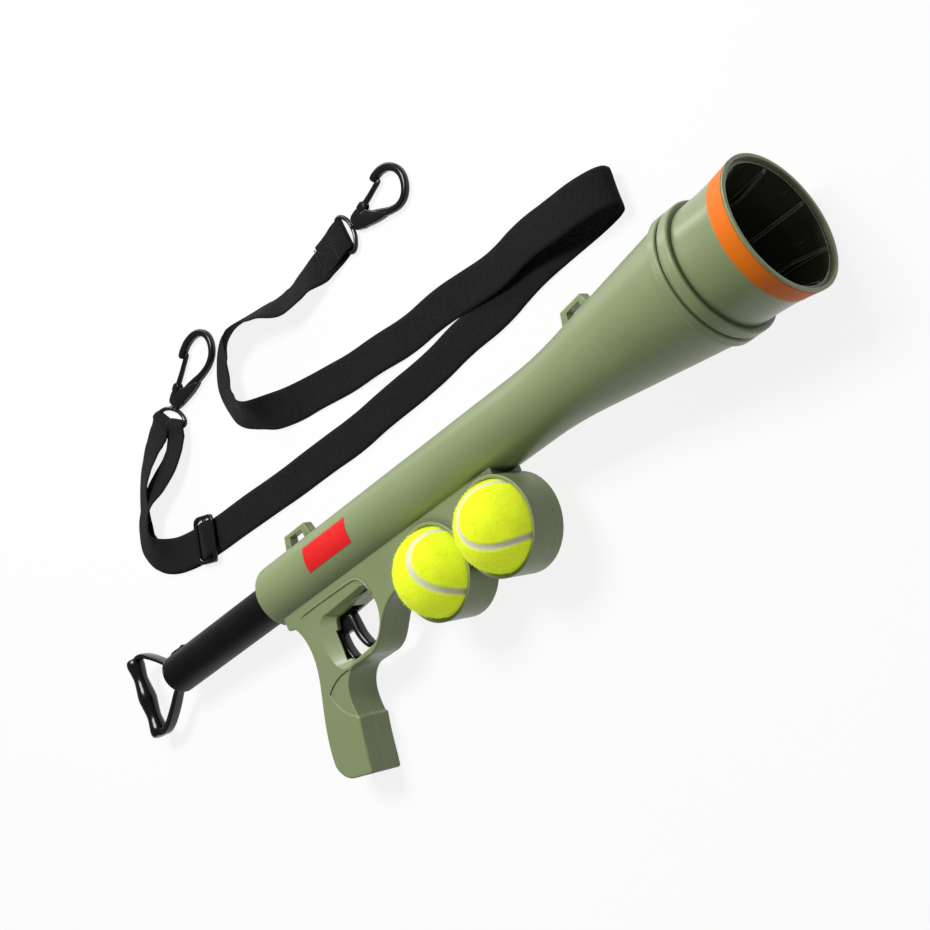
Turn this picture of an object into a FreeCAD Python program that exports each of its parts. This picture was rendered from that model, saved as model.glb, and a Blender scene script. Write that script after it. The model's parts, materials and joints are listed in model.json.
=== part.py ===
import FreeCAD, Part
import math
import os
from FreeCAD import Matrix, Placement, Rotation, Vector

# A pump launcher for tennis balls, lying on its left side, with its shoulder strap beside it.
# Millimetres. The launcher is drawn along its own axis: X to the muzzle, Y to its left, Z to its sights.
# The function placed() then lays it down on its left side, and the strap is drawn straight on the floor.

# Fits and walls
RUN_GAP = 0.3
SEAT_GAP = 0.1
WALL = 3.0

# Barrel, cone and collar
BODY_R = 26.0
BODY_REAR_X = 22.0
BODY_EDGE_R = 3.0
END_WALL = 4.0
CONE_CORNER_X = 357.5
CONE_BLEND = 25.0
COLLAR_X = 497.0
CONE_END_R = 45.2
COLLAR_R = 47.5
COLLAR_LIP = 7.5
COLLAR_GROOVE = 2.0
COLLAR_LEN = 18.0
LIP_EDGE = 1.0

# Muzzle sleeve, ring and liner
SLEEVE_R = 43.6
SLEEVE_MID_R = 44.8
RIM_R = 48.2
RIM_X = 564.5
SLEEVE_MID_X = 541.0
SLEEVE_WALL = 2.4
FLANGE_LEN = 4.4
FLANGE_RISE = 1.5
BAND_X0 = 548.5
BAND_LEN = 14.0
BAND_SINK = 0.8
BAND_PROUD = 0.25
LINER_INSET = 2.5
LINER_WALL = 2.0
LINER_WAIST_X = 457.0
LINER_NECK_X = 432.0
LINER_TAIL = 12.0
RIB_COUNT = 8
RIB_THICK = 2.0
RIB_IN_R = 35.5
STUD_R = 2.6
STUD_ANGLE = 118.0

# Plunger, cylinder and spring
TUBE_R = 16.5
TUBE_WALL = 2.2
TUBE_REAR_X = -133.0
TUBE_FRONT_X = 335.0
PULL_TRAVEL = 120.0
BUSH_LEN = 18.0
CAP_X = 142.0
CAP_LEN = 6.0
CYL_FRONT_X = 350.0
CYL_WALL = 2.0
PISTON_LEN = 12.0
SPIGOT_LEN = 15.0
SEAL_R = 1.15
NOZZLE_R = 9.8
NOZZLE_BORE = 7.0
NOZZLE_CAP = 8.0
NOZZLE_PLUG = 8.0
RIB_LEN = 3.0
SPRING_WIRE_R = 1.1
SPRING_TURNS = 16

# D handle
HANDLE_OUT_X = -193.0
HANDLE_HALF = 34.0
BAR_R = 6.0
BAR_SWELL = 1.6
ARM_THICK = 4.5
ARM_WIDTH = 14.0
PLUG_LEN = 24.0
HANDLE_PIN_R = 2.0

# Receiver, guard and grip
PLATE_HALF = 15.0
PLATE_FRONT_X = 287.0
PLATE_LOW_Z = -55.0
GRIP_LOW_Z = -160.0
FINGER_REST_Z = -117.0
EDGE_R = 1.5
PANEL_DEEP = 0.8
FLARE_DEEP = 5.5
CHAMBER_X0 = 62.0
CHAMBER_X1 = 142.0
CHAMBER_Z0 = -40.0
CHAMBER_HALF = 11.0

# Trigger and sear
PIVOT_X = 82.0
PIVOT_Z = -33.0
SEAR_X = 134.0
PIN_R = 2.0
TRIGGER_HALF = 5.0
SEAR_HALF = 4.0
NOSE_X = 116.0

# Ball cups
BALL_R = 33.0
CUP_WALL = 2.3
CUP_Y0 = -20.0
CUP_Y1 = 9.0
CUP_FLOOR = 2.5
BALL_Y = -15.3
CUPS = {"front": (275.8, -60.2), "rear": (204.8, -61.6)}

# Screws, seen from the left side
SCREW_SPOTS = [(56, GRIP_LOW_Z + 13), (50, -101), (54, -37), (151, -43), (240, -37)]
SCREW_R = 1.5
SCREW_HEAD_R = 3.0
SCREW_HEAD = 2.5

# Strap eyes on the top line
EYE_HALF = 4.0

# Label on the right side of the barrel
LABEL_X = (90.0, 144.0)
LABEL_Z = (-8.0, 12.0)
LABEL_THICK = 0.25

# Webbing, its fold, slide adjuster and hooks
WEB_WIDTH = 30.0
WEB_THICK = 1.6
FOLD_X = 425.0
FOLD_R = 9.0
RETURN_LIFT = 0.2
RING_WIRE_R = 2.0
RING_HALF = 17.5
RING_DEEP = 11.0
HOOK_THICK = 6.0
HOOK_LOOP_R = 16.0
HOOK_LOOP_U = 45.0
GATE_THICK = 3.4
SLIDE_LEN = 22.0
SLIDE_HALF = 20.0
SLIDE_BAR = 4.0


def xz(y=0.0):
    """Maps a flat point to the plane at this height of Y."""
    return lambda p: Vector(p[0], y, p[1])


def xy(z=0.0):
    """Maps a flat point to the plane at this height of Z."""
    return lambda p: Vector(p[0], p[1], z)


def outline(steps, place):
    """A closed wire. A step is a point, ("arc", middle, end) or ("curve", point, point, ...)."""
    edges = []
    here = steps[0]
    for step in list(steps[1:]) + [steps[0]]:
        if step[0] == "arc":
            edges.append(Part.Arc(place(here), place(step[1]), place(step[2])).toShape())
            here = step[2]
        elif step[0] == "curve":
            spline = Part.BSplineCurve()
            spline.interpolate([place(here)] + [place(p) for p in step[1:]])
            edges.append(spline.toShape())
            here = step[-1]
        elif math.dist(here, step) > 1e-6:
            edges.append(Part.LineSegment(place(here), place(step)).toShape())
            here = step
    return Part.Wire(edges)


def turned(steps):
    """A body of revolution about X from a profile of (x, radius)."""
    return Part.Face(outline(steps, xz())).revolve(Vector(0, 0, 0), Vector(1, 0, 0), 360)


def slab(steps, y0, y1):
    """An outline in the XZ plane, thick from y0 to y1."""
    return Part.Face(outline(steps, xz(y0))).extrude(Vector(0, y1 - y0, 0))


def sheet(steps, z0, z1):
    """An outline in the XY plane, thick from z0 to z1."""
    return Part.Face(outline(steps, xy(z0))).extrude(Vector(0, 0, z1 - z0))


def box(x0, x1, y0, y1, z0, z1):
    return Part.makeBox(x1 - x0, y1 - y0, z1 - z0, Vector(x0, y0, z0))


def rod_x(r, x0, x1, y=0.0, z=0.0):
    return Part.makeCylinder(r, x1 - x0, Vector(x0, y, z), Vector(1, 0, 0))


def rod_y(r, x, z, y0, y1):
    return Part.makeCylinder(r, y1 - y0, Vector(x, y0, z), Vector(0, 1, 0))


def rod_z(r, x, y, z0, z1):
    return Part.makeCylinder(r, z1 - z0, Vector(x, y, z0), Vector(0, 0, 1))


def ring_x(r_in, r_out, x0, x1):
    return rod_x(r_out, x0, x1).cut(rod_x(r_in, x0 - 1, x1 + 1))


def coil(r, wire_r, length, turns):
    """A helical spring that stands on the origin along Z, with its wire inside the length."""
    height = length - 2 * wire_r
    path = Part.makeHelix(height / turns, height, r)
    loop = Part.Wire([Part.makeCircle(wire_r, Vector(r, 0, 0), Vector(0, 1, 0))])
    wound = Part.Wire(path.Edges).makePipeShell([loop], True, True)
    wound.translate(Vector(0, 0, wire_r))
    return wound


def along_x(shape, x, y=0.0, z=0.0):
    """Turns a shape drawn along Z so that it runs along X from this point."""
    turn = Placement(Vector(x, y, z), Rotation(Vector(0, 1, 0), 90))
    return shape.transformGeometry(turn.toMatrix())


# Barrel lines

CONE_SLOPE = (CONE_END_R - BODY_R) / (COLLAR_X - CONE_CORNER_X)
CONE_ANGLE = math.atan(CONE_SLOPE)
BLEND_R = CONE_BLEND / math.tan(CONE_ANGLE / 2)


def barrel_line(drop):
    """The barrel's wall line from its start of the blend to the collar, this far inside the outer skin."""
    start = (CONE_CORNER_X - CONE_BLEND, BODY_R - drop)
    centre = (start[0], BODY_R + BLEND_R)
    r = BLEND_R + drop
    half = (centre[0] + r * math.sin(CONE_ANGLE / 2), centre[1] - r * math.cos(CONE_ANGLE / 2))
    end = (centre[0] + r * math.sin(CONE_ANGLE), centre[1] - r * math.cos(CONE_ANGLE))
    last = (COLLAR_X, CONE_END_R - drop / math.cos(CONE_ANGLE))
    return [start, ("arc", half, end), last]


def cone_r(x):
    """Radius of the barrel's skin at x, on the cone or the straight part."""
    return max(BODY_R, BODY_R + (x - CONE_CORNER_X) * CONE_SLOPE)


def sleeve_arc(shift):
    """The sleeve's flare as a profile to the axis, moved out by a shift."""
    start = (COLLAR_X + COLLAR_LEN, SLEEVE_R + shift)
    middle = (SLEEVE_MID_X, SLEEVE_MID_R + shift)
    end = (RIM_X, RIM_R + shift)
    return [(start[0], 0), start, ("arc", middle, end), (end[0], 0)]


def body_outer():
    edge = BODY_EDGE_R
    bow = edge * (1 - math.sqrt(0.5))
    x1 = COLLAR_X + COLLAR_LIP
    x2 = x1 + COLLAR_GROOVE
    x3 = COLLAR_X + COLLAR_LEN
    low = COLLAR_R - 1.9
    start, blend, last = barrel_line(0)
    return turned([
        (BODY_REAR_X, 0),
        (BODY_REAR_X, BODY_R - edge),
        ("arc", (BODY_REAR_X + bow, BODY_R - bow), (BODY_REAR_X + edge, BODY_R)),
        start,
        blend,
        last,
        (COLLAR_X + LIP_EDGE, COLLAR_R),
        (x1 - LIP_EDGE, COLLAR_R),
        (x1, COLLAR_R - LIP_EDGE),
        (x1, low),
        (x2, low),
        (x2, COLLAR_R - LIP_EDGE),
        (x2 + LIP_EDGE, COLLAR_R),
        (x3 - LIP_EDGE, COLLAR_R),
        (x3, COLLAR_R - LIP_EDGE),
        (x3, 0),
    ])


def body_bore():
    """The room inside: the plunger's way, the cylinder's bore, the cone and the sleeve's seat."""
    start, blend, last = barrel_line(WALL)
    seat = SLEEVE_R + SEAT_GAP
    flange_x = COLLAR_X + COLLAR_LEN - 7.2
    return turned([
        (BODY_REAR_X - 1, 0),
        (BODY_REAR_X - 1, TUBE_R + RUN_GAP),
        (BODY_REAR_X + END_WALL, TUBE_R + RUN_GAP),
        (BODY_REAR_X + END_WALL, BODY_R - WALL),
        start,
        blend,
        last,
        (COLLAR_X, seat),
        (flange_x, seat),
        (flange_x, seat + FLANGE_RISE),
        (flange_x + FLANGE_LEN + 2 * SEAT_GAP, seat + FLANGE_RISE),
        (flange_x + FLANGE_LEN + 2 * SEAT_GAP, seat),
        (COLLAR_X + COLLAR_LEN + 1, seat),
        (COLLAR_X + COLLAR_LEN + 1, 0),
    ])


def grip_outline():
    """Receiver plate, guard and grip, seen from the side."""
    low = GRIP_LOW_Z
    drop = (FINGER_REST_Z - low) / 43
    return [
        (32, -14),
        (PLATE_FRONT_X, -14),
        (PLATE_FRONT_X, -30),
        (PLATE_FRONT_X - 6, PLATE_LOW_Z),
        (158, PLATE_LOW_Z),
        ("curve", (143, -59.5), (132, -67.5), (122, -77.5), (108, -84)),
        (86, -84),
        ("curve", (77, -88), (71, -96.5), (69, -107), (69.5, FINGER_REST_Z)),
        (71.5, FINGER_REST_Z - 2),
        ("curve", (68, FINGER_REST_Z - 14 * drop), (65, FINGER_REST_Z - 28 * drop), (62, low + 1)),
        (60.5, low),
        (40, low + 4),
        ("arc", (30.5, low + 9.5), (25.5, low + 19)),
        ("curve", (27.5, low + 35), (38, -93), (46.5, -66), (46, -49), (39, -34)),
        (32, -32),
    ]


def finger_opening():
    """The hole behind the guard, through the plate."""
    return [
        (80, -47),
        ("arc", (82, -44), (86, -43.5)),
        (121, -40.5),
        ("arc", (127.5, -42.5), (129.5, -49)),
        ("curve", (128.5, -63), (124, -71), (115, -77.5)),
        (88, -80),
        ("arc", (82.5, -78.5), (79.5, -73)),
        ("curve", (77.5, -64), (78, -55), (80, -47)),
    ]


def opening_flare():
    """Where the opening's border begins on the plate's sides, wide at the grip and narrow along the guard."""
    return [
        (66, -46),
        ("arc", (69.5, -39.8), (78, -38)),
        (121, -36),
        ("arc", (130.5, -38.5), (133, -48)),
        ("curve", (131.8, -63), (125.8, -72), (116, -78.6)),
        (88, -81),
        ("arc", (74, -80.5), (67, -74)),
        ("curve", (64.2, -64), (64.2, -54), (66, -46)),
    ]


def panel_outline():
    """The finger rest on the grip's sides, a shallow arrow head."""
    return [
        (80, -84),
        ("curve", (63, -85.5), (49.5, -92)),
        ("curve", (55, -105), (74, -119.5)),
        (84, -110),
    ]


def eye_loops():
    """Both strap eyes, as closed loops that stand on the barrel's top."""
    rear = slab([(49, 22), (54, 36.5), (80, 36.5), (85, 22)], -EYE_HALF, EYE_HALF)
    rear = rear.cut(slab([(57, 20), (59.5, 33.3), (74.5, 33.3), (77, 20)], -EYE_HALF - 1, EYE_HALF + 1))
    front = slab([(383, 24), (388, 40.5), (409, 43), (417, 26)], -EYE_HALF, EYE_HALF)
    hole = [(390, 22), (392.5, 37.3), (405.5, 39.2), (409, 22)]
    front = front.cut(slab(hole, -EYE_HALF - 1, EYE_HALF + 1))
    return rear.fuse(front)


def shell_pair():
    """Both body shells, cut apart on the middle plane."""
    plate = slab(grip_outline(), -PLATE_HALF, PLATE_HALF)
    plate = plate.cut(slab(finger_opening(), -PLATE_HALF - 1, PLATE_HALF + 1))
    rims = [e for e in plate.Edges if e.CenterOfMass.z < -BODY_R and abs(abs(e.Vertexes[0].Y) - PLATE_HALF) < 0.01]
    rims = [e for e in rims if not (68 < e.CenterOfMass.x < 131 and -82 < e.CenterOfMass.z < -38)]
    plate = plate.makeFillet(EDGE_R, rims)
    for side in (-1, 1):
        wide = outline(opening_flare(), xz(side * (PLATE_HALF + 0.01)))
        narrow = outline(finger_opening(), xz(side * (PLATE_HALF - FLARE_DEEP)))
        plate = plate.cut(Part.makeLoft([wide, narrow], True, True))
    for side in (-1, 1):
        y = side * PLATE_HALF
        cut = sorted((y, y - side * PANEL_DEEP))
        plate = plate.cut(slab(panel_outline(), cut[0], cut[1]))
    solid = body_outer().fuse(plate)
    cup_r = BALL_R + RUN_GAP + CUP_WALL
    for x, z in CUPS.values():
        cup = rod_y(cup_r, x, z, CUP_Y0, CUP_Y1)
        solid = solid.fuse(cup)
    solid = solid.fuse(eye_loops())
    solid = solid.cut(body_bore())
    for x0, r_in in ((BODY_REAR_X + END_WALL + BUSH_LEN, TUBE_R + 4), (CAP_X - RIB_LEN, TUBE_R + 3)):
        solid = solid.fuse(ring_x(r_in, BODY_R - 1, x0, x0 + RIB_LEN))
    nozzle_end = CYL_FRONT_X + NOZZLE_CAP
    solid = solid.fuse(ring_x(NOZZLE_R + 3, BODY_R - 1, nozzle_end, nozzle_end + RIB_LEN))
    for x, z in CUPS.values():
        solid = solid.cut(rod_y(BALL_R + RUN_GAP, x, z, CUP_Y0 - 1, CUP_Y1 - CUP_FLOOR))
        back = math.sqrt(BALL_R ** 2 - (CUP_Y1 - CUP_FLOOR - BALL_Y) ** 2)
        solid = solid.cut(rod_y(back + RUN_GAP, x, z, 0, PLATE_HALF + 1))
    return finish_inside(solid)


def finish_inside(solid):
    """Cuts the trigger's room, the grip's hollow and the screw holes, then splits the body."""
    chamber = box(CHAMBER_X0, CHAMBER_X1, -CHAMBER_HALF, CHAMBER_HALF, CHAMBER_Z0, -15)
    chamber = chamber.cut(rod_x(BODY_R, CHAMBER_X0 - 1, CHAMBER_X1 + 1))
    slot = box(60, 100, -TRIGGER_HALF - 1, TRIGGER_HALF + 1, -80, CHAMBER_Z0 + 1)
    behind = Part.Face(outline([(81, -15.5), (57, 15.5), (86, 15.5), (86, -15.5)], xy(-76)))
    window = box(NOSE_X - 9, NOSE_X + 7, -SEAR_HALF - 1, SEAR_HALF + 1, -BODY_R - 4, -TUBE_R)
    solid = solid.cut(chamber)
    solid = solid.cut(slot)
    solid = solid.cut(behind.extrude(Vector(0, 0, 24)))
    solid = solid.cut(window)
    low = GRIP_LOW_Z
    drop = (FINGER_REST_Z - low) / 43
    hollow = [(52, -87), (64, -98), (63, FINGER_REST_Z + 1), (60, FINGER_REST_Z - 14 * drop), (57, low + 10), (42, low + 10),
              (34, low + 20), (34, low + 34), (45, -97)]
    hollow = slab(hollow, -PLATE_HALF + WALL, PLATE_HALF - WALL)
    for x, z in SCREW_SPOTS[:2]:
        hollow = hollow.cut(rod_y(SCREW_R + 2.5, x, z, -PLATE_HALF, PLATE_HALF))
    solid = solid.cut(hollow)
    for x, z in ((PIVOT_X, PIVOT_Z), (SEAR_X, PIVOT_Z)):
        for y0 in (-CHAMBER_HALF, TRIGGER_HALF + RUN_GAP):
            boss = rod_y(PIN_R + 2.2, x, z, y0, y0 + CHAMBER_HALF - TRIGGER_HALF - RUN_GAP)
            solid = solid.fuse(boss)
        solid = solid.cut(rod_y(PIN_R, x, z, -CHAMBER_HALF - 1, CHAMBER_HALF + 1))
    for x, z in SCREW_SPOTS:
        solid = solid.cut(rod_y(SCREW_R + 0.05, x, z, -10, 12))
        solid = solid.cut(rod_y(SCREW_HEAD_R + RUN_GAP, x, z, 9, PLATE_HALF + 6))
    right = solid.common(box(0, 600, -60, 0, low - 20, 80))
    left = solid.common(box(0, 600, 0, 60, low - 20, 80))
    return right, left


def muzzle_sleeve():
    inside = sleeve_arc(-SLEEVE_WALL)
    rear = COLLAR_X + 1
    bore = turned([(rear - 1, 0), (rear - 1, SLEEVE_R - SLEEVE_WALL)] + inside[1:3] + [
        (RIM_X + 1, RIM_R - SLEEVE_WALL), (RIM_X + 1, 0)])
    skin = turned([(rear, 0), (rear, SLEEVE_R)] + sleeve_arc(0)[1:])
    flange_x = COLLAR_X + COLLAR_LEN - 7.2 + SEAT_GAP
    skin = skin.fuse(rod_x(SLEEVE_R + FLANGE_RISE, flange_x, flange_x + FLANGE_LEN))
    groove = turned(sleeve_arc(3)).cut(turned(sleeve_arc(-BAND_SINK)))
    groove = groove.common(rod_x(60, BAND_X0, BAND_X0 + BAND_LEN))
    return skin.cut(bore).cut(groove)


def muzzle_band():
    ring = turned(sleeve_arc(BAND_PROUD)).cut(turned(sleeve_arc(-BAND_SINK)))
    return ring.common(rod_x(60, BAND_X0, BAND_X0 + BAND_LEN))


def liner_skin(drop):
    """Profile of the liner's outer face, moved in by a drop, from its mouth to its neck."""
    join_x = COLLAR_X + COLLAR_LEN
    waist_r = cone_r(LINER_WAIST_X) - WALL - 0.8
    mouth_r = RIM_R - SLEEVE_WALL - SEAT_GAP - 0.5
    step_r = cone_r(COLLAR_X) - WALL - 0.6
    neck_r = NOZZLE_R + SEAT_GAP + LINER_WALL
    return [
        (LINER_NECK_X - LINER_TAIL, neck_r - drop),
        (LINER_NECK_X + drop, neck_r - drop),
        (LINER_WAIST_X + drop / 2, waist_r - drop),
        (COLLAR_X, step_r - 0.4 - drop),
        (join_x, SLEEVE_R - SLEEVE_WALL - 0.4 - drop),
        (SLEEVE_MID_X, SLEEVE_MID_R - SLEEVE_WALL - 0.35 - drop),
        (RIM_X - LINER_INSET, mouth_r - drop),
    ]


def muzzle_liner():
    skin = liner_skin(0)
    room = liner_skin(LINER_WALL)
    body = turned([(skin[0][0], 0)] + skin + [(skin[-1][0], 0)])
    hollow = turned([(room[0][0] - 1, 0), (room[0][0] - 1, room[0][1])] + room[1:] + [
        (RIM_X + 1, room[-1][1]), (RIM_X + 1, 0)])
    body = body.cut(hollow)
    fin_blank = turned([(LINER_WAIST_X + 6, 0)] + [p for p in liner_skin(LINER_WALL / 2) if p[0] > LINER_WAIST_X + 6]
                       + [(RIM_X - LINER_INSET - 3, RIB_IN_R + 6), (RIM_X - 26, RIB_IN_R), (RIM_X - 26, 0)])
    fin_blank = fin_blank.cut(rod_x(RIB_IN_R, 400, 600))
    for i in range(RIB_COUNT):
        fin = box(LINER_WAIST_X + 6, RIM_X, -RIB_THICK / 2, RIB_THICK / 2, 20, 60)
        fin.rotate(Vector(0, 0, 0), Vector(1, 0, 0), (i + 0.5) * 360 / RIB_COUNT)
        body = body.fuse(fin_blank.common(fin))
    stud_r = RIM_R - SLEEVE_WALL - 2.2
    stud = Part.makeCylinder(STUD_R, 7, Vector(RIM_X - 12, 0, stud_r - 8), Vector(0, 0, 1))
    stud.rotate(Vector(0, 0, 0), Vector(1, 0, 0), STUD_ANGLE)
    return body.fuse(stud)


def air_cylinder():
    r = BODY_R - WALL - SEAT_GAP
    return ring_x(r - CYL_WALL, r, CAP_X + CAP_LEN, CYL_FRONT_X)


def air_nozzle():
    cap = rod_x(BODY_R - WALL - SEAT_GAP, CYL_FRONT_X, CYL_FRONT_X + NOZZLE_CAP)
    pipe = rod_x(NOZZLE_R, CYL_FRONT_X, LINER_NECK_X - LINER_TAIL + NOZZLE_PLUG)
    return cap.fuse(pipe).cut(rod_x(NOZZLE_BORE, CYL_FRONT_X - 1, LINER_NECK_X))


def plunger_tube():
    tube = ring_x(TUBE_R - TUBE_WALL, TUBE_R, TUBE_REAR_X, TUBE_FRONT_X)
    catch_x = NOSE_X + PULL_TRAVEL
    catch = box(catch_x - 6, catch_x + 6, -SEAR_HALF - 1, SEAR_HALF + 1, -TUBE_R - 1, -TUBE_R + TUBE_WALL + 1)
    return tube.cut(catch).cut(rod_y(HANDLE_PIN_R, TUBE_REAR_X + 10, 0, -TUBE_R - 1, TUBE_R + 1))


def piston_head():
    bore = BODY_R - WALL - SEAT_GAP - CYL_WALL
    head = rod_x(bore - 0.5, TUBE_FRONT_X, TUBE_FRONT_X + PISTON_LEN)
    head = head.fuse(rod_x(TUBE_R - TUBE_WALL - SEAT_GAP, TUBE_FRONT_X - SPIGOT_LEN, TUBE_FRONT_X))
    middle = TUBE_FRONT_X + PISTON_LEN / 2
    seat = bore - 0.15 - 2 * SEAL_R
    return head.cut(ring_x(seat, bore + 1, middle - SEAL_R - 0.1, middle + SEAL_R + 0.1))


def piston_seal():
    bore = BODY_R - WALL - SEAT_GAP - CYL_WALL
    centre = Vector(TUBE_FRONT_X + PISTON_LEN / 2, 0, 0)
    return Part.makeTorus(bore - 0.15 - SEAL_R, SEAL_R, centre, Vector(1, 0, 0))


def main_spring():
    bore = BODY_R - WALL - SEAT_GAP - CYL_WALL
    length = TUBE_FRONT_X - CAP_X - CAP_LEN - 2 * SEAT_GAP
    wound = coil((TUBE_R + bore) / 2, SPRING_WIRE_R, length, SPRING_TURNS)
    return along_x(wound, CAP_X + CAP_LEN + SEAT_GAP)


def pull_handle():
    """Plug in the tube's end, two flat arms and a swelled bar across."""
    plug = rod_x(TUBE_R - TUBE_WALL - SEAT_GAP, TUBE_REAR_X, TUBE_REAR_X + PLUG_LEN)
    head = rod_x(TUBE_R, TUBE_REAR_X - 3, TUBE_REAR_X)
    root_x = TUBE_REAR_X - 2
    bar_x = HANDLE_OUT_X + BAR_R
    half = HANDLE_HALF
    outer = [(root_x, 10), ("curve", (-146, 18.5), (-160, 29), (-174, half + 2.5), (bar_x, half))]
    inner = [(bar_x, half - ARM_THICK), ("curve", (-173, half - ARM_THICK + 1.5), (-158, 23.5), (-145, 13), (root_x, 5))]
    arm = slab(outer + inner, -ARM_WIDTH / 2, ARM_WIDTH / 2)
    other = arm.mirror(Vector(0, 0, 0), Vector(0, 0, 1))
    swell = BAR_R + BAR_SWELL
    bar = Part.Face(outline([
        (0, -half), (BAR_R + 0.8, -half),
        ("curve", (BAR_R - 0.6, -half / 2), (swell, 0), (BAR_R - 0.6, half / 2), (BAR_R + 0.8, half)),
        (0, half)], xz())).revolve(Vector(0, 0, 0), Vector(0, 0, 1), 360)
    bar.translate(Vector(bar_x, 0, 0))
    handle = plug.fuse(head).fuse(arm).fuse(other).fuse(bar)
    return handle.cut(rod_y(HANDLE_PIN_R, TUBE_REAR_X + 10, 0, -TUBE_R - 1, TUBE_R + 1))


def handle_pin():
    return rod_y(HANDLE_PIN_R, TUBE_REAR_X + 10, 0, -TUBE_R + 0.3, TUBE_R - 0.3)


def trigger():
    """Hub, front finger blade, rear leg and the arm that pushes the sear."""
    blade = [
        (PIVOT_X - 6, PIVOT_Z), (PIVOT_X + 7, PIVOT_Z - 1),
        ("curve", (93, -50), (95, -61), (99, -72)),
        ("arc", (97, -75), (93, -74)),
        ("curve", (84, -68), (77.5, -58.5)),
        ("curve", (78.3, -67), (80, -73.5)),
        ("arc", (76, -76.3), (71, -75)),
        ("curve", (66.5, -62), (66, -52), (69, -42)),
    ]
    body = slab(blade, -TRIGGER_HALF, TRIGGER_HALF)
    body = body.fuse(rod_y(5.2, PIVOT_X, PIVOT_Z, -TRIGGER_HALF, TRIGGER_HALF))
    arm_top = PIVOT_Z + 4.4
    body = body.fuse(box(PIVOT_X, 105, -3, 3, arm_top - 3.2, arm_top))
    body = body.fuse(box(67, PIVOT_X, -3, 3, PIVOT_Z - 4, PIVOT_Z))
    return body.cut(rod_y(PIN_R + SEAT_GAP, PIVOT_X, PIVOT_Z, -20, 20))


def sear():
    """Catch lever with its nose up through the barrel wall, just under the plunger tube."""
    top = PIVOT_Z + 4.4 - 3.2 - RUN_GAP
    lever = slab([(100, top), (SEAR_X, top), (SEAR_X, top - 3.5), (100, top - 3.0)], -SEAR_HALF, SEAR_HALF)
    nose = slab([(NOSE_X - 3, top - 1), (NOSE_X - 3, -TUBE_R - 2), (NOSE_X - 1, -TUBE_R - 0.8), (NOSE_X + 3, -TUBE_R - 0.8),
                 (NOSE_X + 3, top - 1)], -SEAR_HALF, SEAR_HALF)
    hub = rod_y(4.2, SEAR_X, PIVOT_Z, -SEAR_HALF, SEAR_HALF)
    return lever.fuse(nose).fuse(hub).cut(rod_y(PIN_R + SEAT_GAP, SEAR_X, PIVOT_Z, -20, 20))


def pivot_pin(x):
    return rod_y(PIN_R, x, PIVOT_Z, -CHAMBER_HALF - 1, CHAMBER_HALF + 1)


def trigger_spring():
    gap = -BODY_R - 0.4 - PIVOT_Z
    wound = coil(1.6, 0.35, gap, 4)
    wound.translate(Vector(71, 0, PIVOT_Z + 0.1))
    return wound


def sear_spring():
    foot = CHAMBER_Z0 + 0.05
    top = PIVOT_Z + 4.4 - 3.2 - RUN_GAP - 3.3
    wound = coil(1.8, 0.35, top - foot - 0.15, 4)
    wound.translate(Vector(124, 0, foot))
    return wound


def screws():
    return Part.makeCompound([
        rod_y(SCREW_R, x, z, -9.5, 9).fuse(rod_y(SCREW_HEAD_R, x, z, 9, 9 + SCREW_HEAD)).cut(
            rod_y(1.1, x, z, 9 + SCREW_HEAD - 1.2, 20)) for x, z in SCREW_SPOTS])


def label():
    """A bare label, curved to the barrel."""
    ring = ring_x(BODY_R, BODY_R + LABEL_THICK, LABEL_X[0], LABEL_X[1])
    return ring.common(box(LABEL_X[0] - 1, LABEL_X[1] + 1, -BODY_R - 2, 0, LABEL_Z[0], LABEL_Z[1]))


# Lay the launcher on its left side: collar, rear edge and the grip's lower left corner touch the floor.

LAY_PITCH = math.atan((COLLAR_R - BODY_R) / (COLLAR_X + LIP_EDGE - BODY_REAR_X - BODY_EDGE_R))
TOUCH_X = BODY_REAR_X + BODY_EDGE_R
GRIP_TOUCH = (35.4, PLATE_HALF, GRIP_LOW_Z + 7.3)


def lay_axes():
    """The floor's three directions in the launcher's own frame, and the floor's distance."""
    nx = math.sin(LAY_PITCH)
    flat = math.cos(LAY_PITCH)
    low = nx * TOUCH_X - BODY_R * flat
    reach = (nx * GRIP_TOUCH[0] - low) / flat
    span = math.hypot(GRIP_TOUCH[1], GRIP_TOUCH[2])
    roll = math.atan2(-GRIP_TOUCH[2], GRIP_TOUCH[1]) - math.acos(reach / span)
    up = Vector(nx, -flat * math.cos(roll), flat * math.sin(roll))
    ahead = (Vector(1, 0, 0) - up * nx).normalize()
    side = up.cross(ahead)
    return ahead, side, up, low


AHEAD, SIDE, UP, FLOOR = lay_axes()
# The origin lies under the middle of the launcher's floor box.
MIDDLE = Vector((HANDLE_OUT_X + RIM_X) / 2 + 0.1, (GRIP_LOW_Z + COLLAR_R) / 2 + 0.1, 0)


def to_floor():
    """Matrix from the launcher's own frame to the floor's."""
    rows = []
    for axis in (AHEAD, SIDE, UP):
        rows += [axis.x, axis.y, axis.z, 0]
    turn = Matrix(*rows, 0, 0, 0, 1)
    shift = Matrix()
    shift.move(Vector(-MIDDLE.x, -MIDDLE.y, -FLOOR))
    return shift.multiply(turn)


def placed(shape):
    """The shape laid down on the floor."""
    out = shape.copy()
    out.Placement = Placement(to_floor()).multiply(out.Placement)
    return out


# Strap. Routes are on the floor, from the foot of the launcher's axis, and follow the webbing's middle line.

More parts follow.
